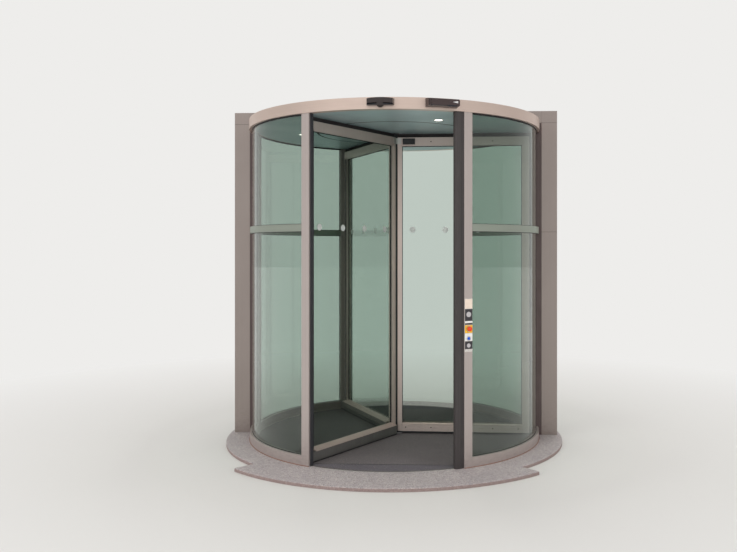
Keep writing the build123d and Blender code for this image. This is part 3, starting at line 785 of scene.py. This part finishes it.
class DOOR_OT_drum_glass(bpy.types.Operator):
    """Glaze the curved walls, with rubber round every pane"""

    bl_idname = "door.drum_glass"
    bl_label = "Curved glass"

    def execute(self, context):
        colours, sizes = context.scene.door_colours, context.scene.door_sizes
        glass = clear_glass("curved glass", colours.pane)
        paint_nodes(glass, *[f"{part}_glass_{wall}" for part in ("lower", "upper")
                             for wall in WALLS])
        black = rubber("glazing rubber", colours.rubber)
        paint_nodes(black, "glass_top_seals")
        lip = sizes.gasket_lip
        strip, nose, toe = 0.003, 0.0008, 0.001
        bm = bmesh.new()
        for wall in WALLS:
            start, end = end_angles(f"lower_glass_{wall}")
            for face, away in ((GLASS_OUTER, 1), (GLASS_INNER, -1)):
                for level, rise in ((RAIL_TOP, 1), (MIDDLE_RAIL_BOTTOM, -1),
                                    (MIDDLE_RAIL_TOP, 1)):
                    section = [(face, level - rise * lip),
                               (face + away * strip, level - rise * lip),
                               (face + away * strip, level + rise * nose),
                               (face + away * toe, level + rise * lip),
                               (face, level + rise * lip)]
                    add_curved_bar(bm, section, start, end, steps=40)
                for low, high in ((RAIL_TOP, MIDDLE_RAIL_BOTTOM), (MIDDLE_RAIL_TOP, CEILING)):
                    section = [(face, low), (face + away * strip, low),
                               (face + away * strip, high), (face, high)]
                    width = lip / DRUM_RADIUS
                    add_curved_bar(bm, section, start, start + width, steps=1)
                    add_curved_bar(bm, section, end - width, end, steps=1)
        make_piece("curved_gaskets", bm, DRUM, black)
        return {"FINISHED"}


class DOOR_OT_rubbers(bpy.types.Operator):
    """Finish the safety edges and the upright gaskets, and seal the drum's foot"""

    bl_idname = "door.rubbers"
    bl_label = "Rubber edges"

    def execute(self, context):
        colours, sizes = context.scene.door_colours, context.scene.door_sizes
        paint_nodes(rubber("safety rubber", colours.safety, roughness=0.55), "safety_edge_front",
                    "safety_edge_rear")
        paint_nodes(rubber("gasket rubber", colours.gaskets), "post_gaskets")
        paint_nodes(rubber("joint rubber", colours.joints), "side_gasket_left",
                    "side_gasket_right")
        bead, root = sizes.sealant_bead, DRUM_RADIUS - 0.0005
        section = [(root, FLOOR), (DRUM_RADIUS + bead, FLOOR),
                   (DRUM_RADIUS + 0.3 * bead, FLOOR + 0.3 * bead), (root, FLOOR + bead)]
        bm = bmesh.new()
        for wall in WALLS:
            spans = [end_angles(f"bottom_rail_{wall}"), end_angles(f"corner_post_{wall}")]
            add_curved_bar(bm, section, min(span[0] for span in spans),
                           max(span[1] for span in spans), steps=40)
        make_piece("foot_sealant", bm, DRUM,
                   rubber("sealant", colours.sealant, roughness=0.5))
        return {"FINISHED"}


class DOOR_OT_wings(bpy.types.Operator):
    """Finish the wings and their axle: frames, panes, rubbers, sight dots, screws, joints"""

    bl_idname = "door.wings"
    bl_label = "Wings"

    def execute(self, context):
        colours, sizes = context.scene.door_colours, context.scene.door_sizes
        metal = brushed_metal("wing metal", colours.wings, "upright", roughness=0.40, metallic=0.6)
        glass = clear_glass("wing glass", colours.pane)
        black = rubber("wing rubber", colours.rubber)
        paint_nodes(metal, "wing_frame_a", "wing_frame_b", "wing_frame_c")
        paint_nodes(glass, "wing_glass_a", "wing_glass_b", "wing_glass_c")
        paint_nodes(black, "wing_gaskets", "wing_edge_rubbers")
        paint_nodes(coated_metal("axle coating", colours.dark_metal), "axle", "latch_box")
        paint_nodes(satin_metal("bracket metal", colours.steel, roughness=0.35), "wing_brackets")

        dots = bmesh.new()
        film, radius = 0.0004, sizes.dot_diameter / 2
        profile = [(0.0, 0.0), (radius, 0.0), (radius, 0.7 * film), (radius - film, film),
                   (0.0, film)]
        sink = Matrix.Translation((0.0, 0.0, (PANE_THICKNESS - WING_THICKNESS) / 2))
        for letter in WING_ANGLES:
            for reach in DOT_REACHES:
                for side in (-1, 1):
                    place = wing_face(letter, side, reach, sizes.dot_level)
                    add_turned(dots, profile, place @ sink, steps=40)
        make_piece("sight_dots", dots, ROTOR, frosted_film("frosted film"))

        screws = bmesh.new()
        outer, inner = 0.093, 0.306
        bottom_row, top_row = FLOOR + 0.054, SIGHT_TOP + 0.036
        spots = [(reach, bottom_row)
                 for reach in (outer, inner, WING_REACH - inner, WING_REACH - outer)]
        spots += [(reach, top_row) for reach in (inner, WING_REACH - inner)]
        for letter in WING_ANGLES:
            for reach, level in spots:
                add_screw(screws, wing_face(letter, -1, reach, level), sizes.screw_radius)
        make_piece("wing_screws", screws, ROTOR,
                   satin_metal("screw steel", colours.screw, roughness=0.4))

        joints = bmesh.new()
        half, proud = sizes.joint_width / 4, 0.0001
        depth = WING_THICKNESS / 2 + proud
        for letter in WING_ANGLES:
            for reach in (SIGHT_START, SIGHT_END):
                for low, high in ((WING_BOTTOM, SIGHT_BOTTOM), (SIGHT_TOP, WING_TOP)):
                    add_prism(joints, box_outline(reach - half, reach + half, -depth, depth),
                              low - proud, high + proud, wing_place(letter))
        make_piece("wing_joints", joints, ROTOR, black)
        return {"FINISHED"}


class DOOR_OT_wing_feet(bpy.types.Operator):
    """Trim the wings' bottom rails: heel strips with sloping covers before, beads behind"""

    bl_idname = "door.wing_feet"
    bl_label = "Heel strips and bottom beads"

    def execute(self, context):
        colours, sizes = context.scene.door_colours, context.scene.door_sizes
        # Sections, each point as its distance before the wing's middle and its height
        proud, ease, corner = 0.0005, 0.001, 0.012
        face, pane = WING_THICKNESS / 2, PANE_THICKNESS / 2 + proud
        front, top = face + sizes.heel_depth, FLOOR + sizes.heel_top
        bottom, lip_bottom = FLOOR + 0.010, FLOOR + 0.0045
        cover_nose, cover_top = top + 0.003, top + 0.021
        bead_foot, bead_nose, bead_top = (SIGHT_BOTTOM - proud, SIGHT_BOTTOM + 0.0015,
                                          SIGHT_BOTTOM + 0.011)
        heel = [(face, bottom + 2 * ease), (front - 6 * ease, bottom),
                (front - 2 * ease, bottom + 3 * ease), (front, bottom + corner),
                (front, top - corner), (front - ease, top), (face, top)]
        cover = [(pane, top), (front + proud, top), (front + proud, cover_nose),
                 (front - ease, cover_nose + 1.5 * ease), (pane, cover_top)]
        bead = [(-pane, bead_foot), (-face - proud, bead_foot), (-face - proud, bead_nose),
                (-pane, bead_top)]
        lip = [(0.0, lip_bottom), (front - 5 * ease, lip_bottom), (front - 3 * ease, bottom),
               (0.0, bottom)]
        strips, covers, lips = bmesh.new(), bmesh.new(), bmesh.new()
        heel_start, cover_end = SIGHT_START - 0.006, SIGHT_END + 0.010
        for letter in WING_ANGLES:
            add_wing_bar(strips, letter, heel, heel_start, WING_REACH)
            add_wing_bar(lips, letter, lip, heel_start, WING_REACH)
            add_wing_bar(covers, letter, cover, SIGHT_START, cover_end)
            add_wing_bar(covers, letter, bead, SIGHT_START, SIGHT_END)
        make_piece("heel_strips", strips, ROTOR,
                   rubber("heel rubber", colours.heel, roughness=0.45),
                   edge=0.0008)
        make_piece("heel_lips", lips, ROTOR, rubber("lip rubber", colours.rubber))
        metal = brushed_metal("wing cover metal", colours.wing_covers, "wing", roughness=0.40,
                              metallic=0.6)
        make_piece("bottom_covers", covers, ROTOR, metal, edge=0.0004)
        return {"FINISHED"}


class DOOR_OT_brushes(bpy.types.Operator):
    """Make the brush seals: a holder, a dense core and rows of single bristles"""

    bl_idname = "door.brushes"
    bl_label = "Brush seals"

    def execute(self, context):
        colours, sizes = context.scene.door_colours, context.scene.door_sizes
        dark = bristles_finish("bristles", colours.brush)
        holder = coated_metal("brush holder", colours.dark_metal)
        core_half, holder_half, holder_height = 0.0035, 0.011, 0.006
        ceiling_gap, wall_gap, mat_gap = 0.0006, 0.001, 0.001
        brush_top, brush_reach = CEILING - ceiling_gap, WALL_INNER - wall_gap
        brush_bottom = FLOOR + sizes.rib_height + mat_gap
        # Each strip of bristles: first foot, last foot, way they grow and their length
        strips = (
            ((SEAL_START, WING_TOP), (brush_reach, WING_TOP), (0.0, 1.0), brush_top - WING_TOP),
            ((WING_REACH, brush_bottom), (WING_REACH, WING_TOP), (1.0, 0.0),
             brush_reach - WING_REACH),
            ((SEAL_START, WING_BOTTOM), (brush_reach, WING_BOTTOM), (0.0, -1.0),
             WING_BOTTOM - brush_bottom),
        )
        tip_gap = 0.0005
        bm = bmesh.new()
        for letter in WING_ANGLES:
            place = wing_place(letter)
            add_prism(bm, box_outline(PIN_EDGE, brush_reach - tip_gap, -core_half, core_half),
                      WING_TOP, brush_top - tip_gap, place)
            add_prism(bm, box_outline(WING_REACH, brush_reach - tip_gap, -core_half, core_half),
                      brush_bottom + tip_gap, WING_TOP, place)
            add_prism(bm, box_outline(SEAL_START, WING_REACH, -core_half, core_half),
                      brush_bottom + tip_gap, WING_BOTTOM, place)
        make_piece("brush_cores", bm, ROTOR, dark, ("wing_seals",))

        bm = bmesh.new()
        slope = 0.002
        shoulder, top = WING_TOP + 0.7 * holder_height, WING_TOP + holder_height
        upper = [(-holder_half, WING_TOP), (holder_half, WING_TOP), (holder_half, shoulder),
                 (holder_half - slope, top), (slope - holder_half, top),
                 (-holder_half, shoulder)]
        face, strip_bottom, strip_top = -WING_THICKNESS / 2, FLOOR + 0.009, FLOOR + 0.022
        lower = [(face, strip_bottom), (face - slope, strip_bottom),
                 (face - slope, strip_top - slope), (face, strip_top)]
        for letter in WING_ANGLES:
            add_wing_bar(bm, letter, upper, SEAL_START, WING_REACH)
            add_wing_bar(bm, letter, lower, WING_START, WING_REACH)
        make_piece("brush_holders", bm, ROTOR, holder)

        for letter in WING_ANGLES:
            draw = random.Random(f"bristles {letter}")
            place = wing_place(letter)
            bm = bmesh.new()
            for strip in strips:
                grow_bristles(bm, place, draw, strip, sizes.bristle_rows, sizes.bristle_pitch,
                              brush_reach)
            make_piece(f"bristles_{letter}", bm, ROTOR, dark)
        return {"FINISHED"}


class DOOR_OT_sensors(bpy.types.Operator):
    """Finish the detectors on the fascia, with their windows and pale wedges"""

    bl_idname = "door.sensors"
    bl_label = "Detectors"

    def execute(self, context):
        colours = context.scene.door_colours
        plastic = moulded_plastic("motion sensor plastic", colours.motion_sensor, roughness=0.10)
        paint_nodes(plastic, "motion_sensors")
        paint_nodes(moulded_plastic("presence sensor plastic", colours.sensor, roughness=0.22),
                    "presence_sensors")
        angle, distance, _ = fitting("motion_sensors")
        half_width, half_height, brim = 0.0915, 0.029, 0.0005
        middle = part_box("motion_sensors")[1].z - half_height
        bottom, end_top, middle_top = brim - half_height, -0.022, -0.015
        outline = [(-half_width, bottom), (half_width, bottom), (half_width, end_top),
                   (0.0, middle_top), (-half_width, end_top)]
        root, front = FASCIA_RADIUS - 0.0038, distance - 0.014
        bows = bmesh.new()
        for turn in (angle, angle + math.pi):
            add_prism(bows, outline, root, front, ring_place(turn, 0.0, middle))
        plastic = moulded_plastic("motion window", colours.window, roughness=0.12)
        make_piece("motion_windows", bows, DRUM, plastic, edge=0.001)

        angle, distance, level = fitting("presence_sensors")
        lamps, windows = bmesh.new(), bmesh.new()
        rise, corner, window_level = 0.0006, 0.0019, -0.0225
        # Pale wedge near the right end of each presence detector's face
        lamp = [(0.062, 0.004), (0.098, -0.003), (0.101, 0.0), (0.101, 0.010), (0.098, 0.012)]
        window_sizes = ((0.058, 0.074, 0.010), (-0.040, 0.118, 0.004))
        for turn in (angle, angle + math.pi):
            place = ring_place(turn, distance, level)
            add_prism(lamps, lamp, 0.0, rise, place)
            for middle, width, height in window_sizes:
                add_prism(windows, rounded_outline(width, height, corner), 0.0, rise,
                          place @ Matrix.Translation((middle, window_level, 0.0)))
        plastic = moulded_plastic("sensor pale wedge", srgb(206, 204, 204), roughness=0.15)
        make_piece("presence_pale_wedges", lamps, DRUM, plastic)
        plastic = moulded_plastic("sensor window", colours.window, roughness=0.05)
        make_piece("presence_windows", windows, DRUM, plastic)
        return {"FINISHED"}


class DOOR_OT_button_plate(bpy.types.Operator):
    """Finish the button plate: plain tiles, collars round the buttons and screws"""

    bl_idname = "door.button_plate"
    bl_label = "Button plate"

    def execute(self, context):
        colours, sizes = context.scene.door_colours, context.scene.door_sizes
        plate = moulded_plastic("plate plastic", colours.plate, roughness=0.35)
        paint_nodes(plate, "button_plate")
        paint_nodes(moulded_plastic("stop red", colours.stop, roughness=0.25), "stop_button")
        paint_nodes(moulded_plastic("call blue", colours.call, roughness=0.25), "call_button")
        plate_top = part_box("button_plate")[1].z
        middle = heading("button_plate")
        tile_half = 0.0302 / DRUM_RADIUS
        dark = moulded_plastic("dark tile", colours.tile, roughness=0.3)
        cream = moulded_plastic("cream tile", colours.cream, roughness=0.35)
        yellow = moulded_plastic("yellow tile", colours.yellow, roughness=0.35)
        white = moulded_plastic("white tile", (0.80, 0.79, 0.77), roughness=0.35)
        rise, ease = 0.0008, 0.0005
        # Each tile with its upper and lower edge, measured down from the plate's top
        tiles = (
            ("tile_cream", cream, 0.003, 0.070),
            ("tile_dark", dark, 0.073, 0.158),
            ("tile_pale", white, 0.160, 0.171),
            ("tile_slate", dark, 0.173, 0.185),
            ("tile_yellow", yellow, 0.188, 0.243),
            ("tile_white", white, 0.246, 0.300),
            ("tile_dark_low", dark, 0.302, 0.357),
        )
        for name, material, start, end in tiles:
            bm = bmesh.new()
            low, high = plate_top - end, plate_top - start
            section = [(PLATE_FACE, low), (PLATE_FACE + rise, low + ease),
                       (PLATE_FACE + rise, high - ease), (PLATE_FACE, high)]
            add_curved_bar(bm, section, middle - tile_half, middle + tile_half, steps=8)
            make_piece(name, bm, DRUM, material)

        discs, collars, screws = bmesh.new(), bmesh.new(), bmesh.new()
        shoulder, top = 0.0008, 0.0014
        for drop, radius in ((0.112, 0.019), (0.332, 0.015)):
            profile = [(0.0, 0.0), (radius, 0.0), (radius, shoulder), (radius - shoulder, top),
                       (0.0, top)]
            add_turned(discs, profile, ring_place(middle, PLATE_FACE + rise, plate_top - drop),
                       steps=32)
        wall, foot, shoulder, top = 0.003, -0.0005, 0.001, 0.002
        for node, radius in (("stop_button", 0.0215), ("call_button", 0.017)):
            low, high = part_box(node)
            place = ring_place(middle, PLATE_FACE + rise, (low.z + high.z) / 2)
            add_hoop(collars, [(radius - wall, foot), (radius, foot), (radius, shoulder),
                               (radius - shoulder, top), (radius - wall, top)], place)
        for drop in (0.366, 0.0015):
            place = ring_place(middle, PLATE_FACE, plate_top - drop)
            add_screw(screws, place, 0.6 * sizes.screw_radius)
        plastic = moulded_plastic("tile disc", srgb(186, 182, 184), roughness=0.35)
        make_piece("tile_discs", discs, DRUM, plastic)
        steel = satin_metal("plate steel", colours.steel, roughness=0.3)
        make_piece("button_collars", collars, DRUM, steel)
        make_piece("plate_screws", screws, DRUM, steel)
        return {"FINISHED"}


class DOOR_OT_ceiling(bpy.types.Operator):
    """Finish the ceiling with its round joint, the lit downlights and the top bearing"""

    bl_idname = "door.ceiling"
    bl_label = "Ceiling and downlights"

    def execute(self, context):
        colours, sizes = context.scene.door_colours, context.scene.door_sizes
        metal = satin_metal("ceiling metal", colours.ceiling, roughness=0.42, metallic=0.3)
        paint_nodes(metal, "ceiling_ring", "ceiling_disc")
        steel = satin_metal("lamp steel", colours.steel, roughness=0.25)
        paint_nodes(steel, "downlights")
        paint_nodes(lamp_glass("lit lens"), "downlight_lenses")
        paint_nodes(coated_metal("bearing coating", colours.dark_metal), "top_bearing")
        joint = (radii("ceiling_disc")[1] + radii("ceiling_ring")[0]) / 2
        inside, outside = joint - sizes.ceiling_joint / 2, joint + sizes.ceiling_joint / 2
        face, root = CEILING - 0.0001, CEILING + 0.001
        bm = bmesh.new()
        add_hoop(bm, [(inside, root), (inside, face), (outside, face), (outside, root)],
                 steps=128)
        make_piece("ceiling_joint", bm, DRUM, rubber("ceiling joint", colours.rubber))
        return {"FINISHED"}


class DOOR_OT_floor(bpy.types.Operator):
    """Finish the stone step, the ribbed mat with its metal edge, and the floor bearing"""

    bl_idname = "door.floor"
    bl_label = "Step and mat"

    def execute(self, context):
        colours, sizes = context.scene.door_colours, context.scene.door_sizes
        fibres = fibre_mat("mat fibres", colours.mat)
        paint_nodes(granite("granite", colours.stone), "stone_step")
        paint_nodes(fibres, "entrance_mat")
        paint_nodes(satin_metal("mat edge", colours.posts, roughness=0.35), "mat_frame")
        paint_nodes(coated_metal("floor bearing coating", colours.dark_metal), "floor_bearing")

        wall_gap, bearing_gap, sill_setback = 0.006, 0.002, 0.004
        round_radius = WALL_INNER - wall_gap
        bearing = radii("floor_bearing")[1] + bearing_gap
        sill = -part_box("corner_post_front_right")[1].y - sill_setback
        inner_ribs, outer_ribs, joints = bmesh.new(), bmesh.new(), bmesh.new()
        count = int(round_radius / sizes.rib_pitch)
        half, top = 0.36 * sizes.rib_pitch, FLOOR + sizes.rib_height
        for index in range(-count, count + 1):
            y = index * sizes.rib_pitch
            reach = math.sqrt(round_radius ** 2 - y ** 2)
            spans = [(-reach, reach)]
            if abs(y) < bearing:
                hole = math.sqrt(bearing ** 2 - y ** 2)
                spans = [(-reach, -hole), (hole, reach)]
            outline = [(y - half, FLOOR), (y + half, FLOOR), (y + 0.5 * half, top),
                       (y - 0.5 * half, top)]
            for left, right in spans:
                add_prism(inner_ribs if abs(y) < sill else outer_ribs, outline, left, right, LAID)
        joint_half, joint_rise, joint_setback = 0.0035, 0.0003, 0.02
        for y in (-sill, sill):
            reach = math.sqrt(round_radius ** 2 - y ** 2) - joint_setback
            add_prism(joints, box_outline(-reach, reach, y - joint_half, y + joint_half), FLOOR,
                      top + joint_rise)
        make_piece("mat_ribs", inner_ribs, DRUM, fibres)
        make_piece("outer_mat_ribs", outer_ribs, DRUM,
                   fibre_mat("outer mat fibres", colours.sill_mat))
        make_piece("mat_joints", joints, DRUM, rubber("mat joint", colours.rubber))
        return {"FINISHED"}


class DOOR_OT_roof(bpy.types.Operator):
    """Finish the roof cover and its screws"""

    bl_idname = "door.roof"
    bl_label = "Roof cover"

    def execute(self, context):
        colours, sizes = context.scene.door_colours, context.scene.door_sizes
        paint_nodes(satin_metal("roof metal", colours.roof, roughness=0.45), "roof_cover")
        bm = bmesh.new()
        count, ring = 24, 0.98 * ROOF_RADIUS
        for index in range(count):
            angle = (index + 0.5) * math.tau / count
            place = Matrix.Translation((ring * math.cos(angle), ring * math.sin(angle),
                                        FASCIA_TOP))
            add_screw(bm, place, sizes.screw_radius)
        make_piece("roof_screws", bm, DRUM,
                   satin_metal("roof screw steel", colours.steel, roughness=0.3))
        return {"FINISHED"}


def studio_world(studio):
    """World with an even light, behind a background that is dimmer at the sides in gloss."""
    world = bpy.data.worlds.new("studio")
    nodes = Nodes(world)
    light = nodes.add("ShaderNodeBackground")
    light.inputs["Color"].default_value = (1.0, 0.99, 0.975, 1.0)
    light.inputs["Strength"].default_value = studio.ambient
    pale = nodes.add("ShaderNodeBackground")
    pale.inputs["Color"].default_value = (*studio.background, 1.0)
    parts = nodes.add("ShaderNodeSeparateXYZ")
    nodes.join(nodes.add("ShaderNodeTexCoord").outputs["Generated"], parts.inputs[0])
    sides = nodes.calculate("ABSOLUTE", parts.outputs[0])
    strength = nodes.add("ShaderNodeMix")
    strength.inputs[FIRST].default_value = 1.0
    gloss = nodes.add("ShaderNodeLightPath").outputs["Is Glossy Ray"]
    nodes.join(gloss, strength.inputs[SHARE])
    nodes.join(nodes.spread(sides, 1.0, 0.6, 0.35, 0.95), strength.inputs[SECOND])
    nodes.join(strength.outputs[0], pale.inputs["Strength"])
    mix = nodes.add("ShaderNodeMixShader")
    nodes.join(nodes.seen_rays(), mix.inputs[0])
    nodes.join(light.outputs[0], mix.inputs[1])
    nodes.join(pale.outputs[0], mix.inputs[2])
    nodes.join(mix.outputs[0], nodes.add("ShaderNodeOutputWorld").inputs["Surface"])
    return world


def studio_floor(studio):
    """Wide pale floor that keeps the door's shadow and fades into the background."""
    finish = Finish("studio floor", studio.floor, 0.65)
    distance = finish.add("ShaderNodeVectorMath", operation="LENGTH")
    finish.join(finish.coordinates("straight"), distance.inputs[0])
    far = finish.spread(distance.outputs["Value"], 0.0, 1.0, 2.0, 5.5)
    glow = finish.add("ShaderNodeEmission")
    glow.inputs["Color"].default_value = (*studio.background, 1.0)
    mix = finish.add("ShaderNodeMixShader")
    finish.join(finish.calculate("MULTIPLY", finish.seen_rays(), far), mix.inputs[0])
    finish.join(finish.shader.outputs[0], mix.inputs[1])
    finish.join(glow.outputs[0], mix.inputs[2])
    finish.join(mix.outputs[0], finish.output.inputs["Surface"])
    bm = bmesh.new()
    bmesh.ops.create_circle(bm, cap_ends=True, segments=96, radius=60.0)
    mesh = bpy.data.meshes.new("studio_floor")
    bm.to_mesh(mesh)
    bm.free()
    mesh.materials.append(finish.material)
    floor = bpy.data.objects.new("studio_floor", mesh)
    floor.location.z = -0.0005
    return floor


def soft_lamp(name, place, side, power):
    """Square lamp turned to the door, which lights but isn't seen itself."""
    data = bpy.data.lights.new(name, "AREA")
    data.shape = "SQUARE"
    data.size = side
    data.energy = power
    lamp = bpy.data.objects.new(name, data)
    lamp.location = place
    lamp.rotation_euler = (LAMP_TARGET - Vector(place)).to_track_quat("-Z", "Y").to_euler()
    lamp.visible_camera = False
    lamp.visible_glossy = False
    lamp.visible_transmission = False
    return lamp


def downlight_beam(name, place):
    """Warm beam of one downlight."""
    data = bpy.data.lights.new(name, "SPOT")
    data.energy = 14.0
    data.color = (1.0, 0.95, 0.88)
    data.spot_size = math.radians(110)
    data.spot_blend = 0.7
    data.shadow_soft_size = 0.03
    lamp = bpy.data.objects.new(name, data)
    lamp.location = place
    return lamp


class DOOR_OT_studio(bpy.types.Operator):
    """Set up the pale floor, the soft lamps, the background and the camera"""

    bl_idname = "door.studio"
    bl_label = "Studio"

    def execute(self, context):
        scene, studio = context.scene, context.scene.door_studio
        scene.world = studio_world(studio)
        floor = studio_floor(studio)
        scene.collection.objects.link(floor)
        for lamp in LAMPS:
            scene.collection.objects.link(soft_lamp(*lamp))
        for index, lens in enumerate(thirds("downlight_lenses")):
            beam = downlight_beam(f"downlight {index + 1}", (lens.x, lens.y, CEILING - 0.005))
            scene.collection.objects.link(beam)

        data = bpy.data.cameras.new("camera")
        data.sensor_width = 36.0
        data.lens = studio.focal_length
        data.shift_x = studio.shift_x
        data.shift_y = studio.shift_y
        camera = bpy.data.objects.new("camera", data)
        camera.location = studio.camera_place
        camera.rotation_euler = (math.pi / 2, 0.0, studio.camera_turn)
        scene.collection.objects.link(camera)
        scene.camera = camera
        scene.view_settings.view_transform = "Standard"
        return {"FINISHED"}


class DOOR_PT_panel(bpy.types.Panel):
    """Lists the door's finishes and parts"""

    bl_idname = "DOOR_PT_panel"
    bl_label = "Revolving door"
    bl_space_type = "VIEW_3D"
    bl_region_type = "UI"
    bl_category = "Revolving door"

    def draw(self, context):
        for operator in OPERATORS:
            self.layout.operator(operator.bl_idname)
        for group in (context.scene.door_colours, context.scene.door_sizes,
                      context.scene.door_studio):
            box = self.layout.box()
            for name in group.__annotations__:
                box.prop(group, name)


OPERATORS = (DOOR_OT_metal, DOOR_OT_drum_glass, DOOR_OT_rubbers, DOOR_OT_wings, DOOR_OT_wing_feet,
             DOOR_OT_brushes, DOOR_OT_sensors, DOOR_OT_button_plate, DOOR_OT_ceiling,
             DOOR_OT_floor, DOOR_OT_roof, DOOR_OT_studio)
CLASSES = (DoorColours, DoorSizes, StudioSettings, *OPERATORS, DOOR_PT_panel)


def register():
    for item in CLASSES:
        bpy.utils.register_class(item)
    bpy.types.Scene.door_colours = PointerProperty(type=DoorColours)
    bpy.types.Scene.door_sizes = PointerProperty(type=DoorSizes)
    bpy.types.Scene.door_studio = PointerProperty(type=StudioSettings)


def unregister():
    del bpy.types.Scene.door_studio
    del bpy.types.Scene.door_sizes
    del bpy.types.Scene.door_colours
    for item in reversed(CLASSES):
        bpy.utils.unregister_class(item)


def main():
    """Build everything in order."""
    register()
    bpy.ops.door.metal()
    bpy.ops.door.drum_glass()
    bpy.ops.door.rubbers()
    bpy.ops.door.wings()
    bpy.ops.door.wing_feet()
    bpy.ops.door.brushes()
    bpy.ops.door.sensors()
    bpy.ops.door.button_plate()
    bpy.ops.door.ceiling()
    bpy.ops.door.floor()
    bpy.ops.door.roof()
    bpy.ops.door.studio()


if __name__ == "__main__":
    main()
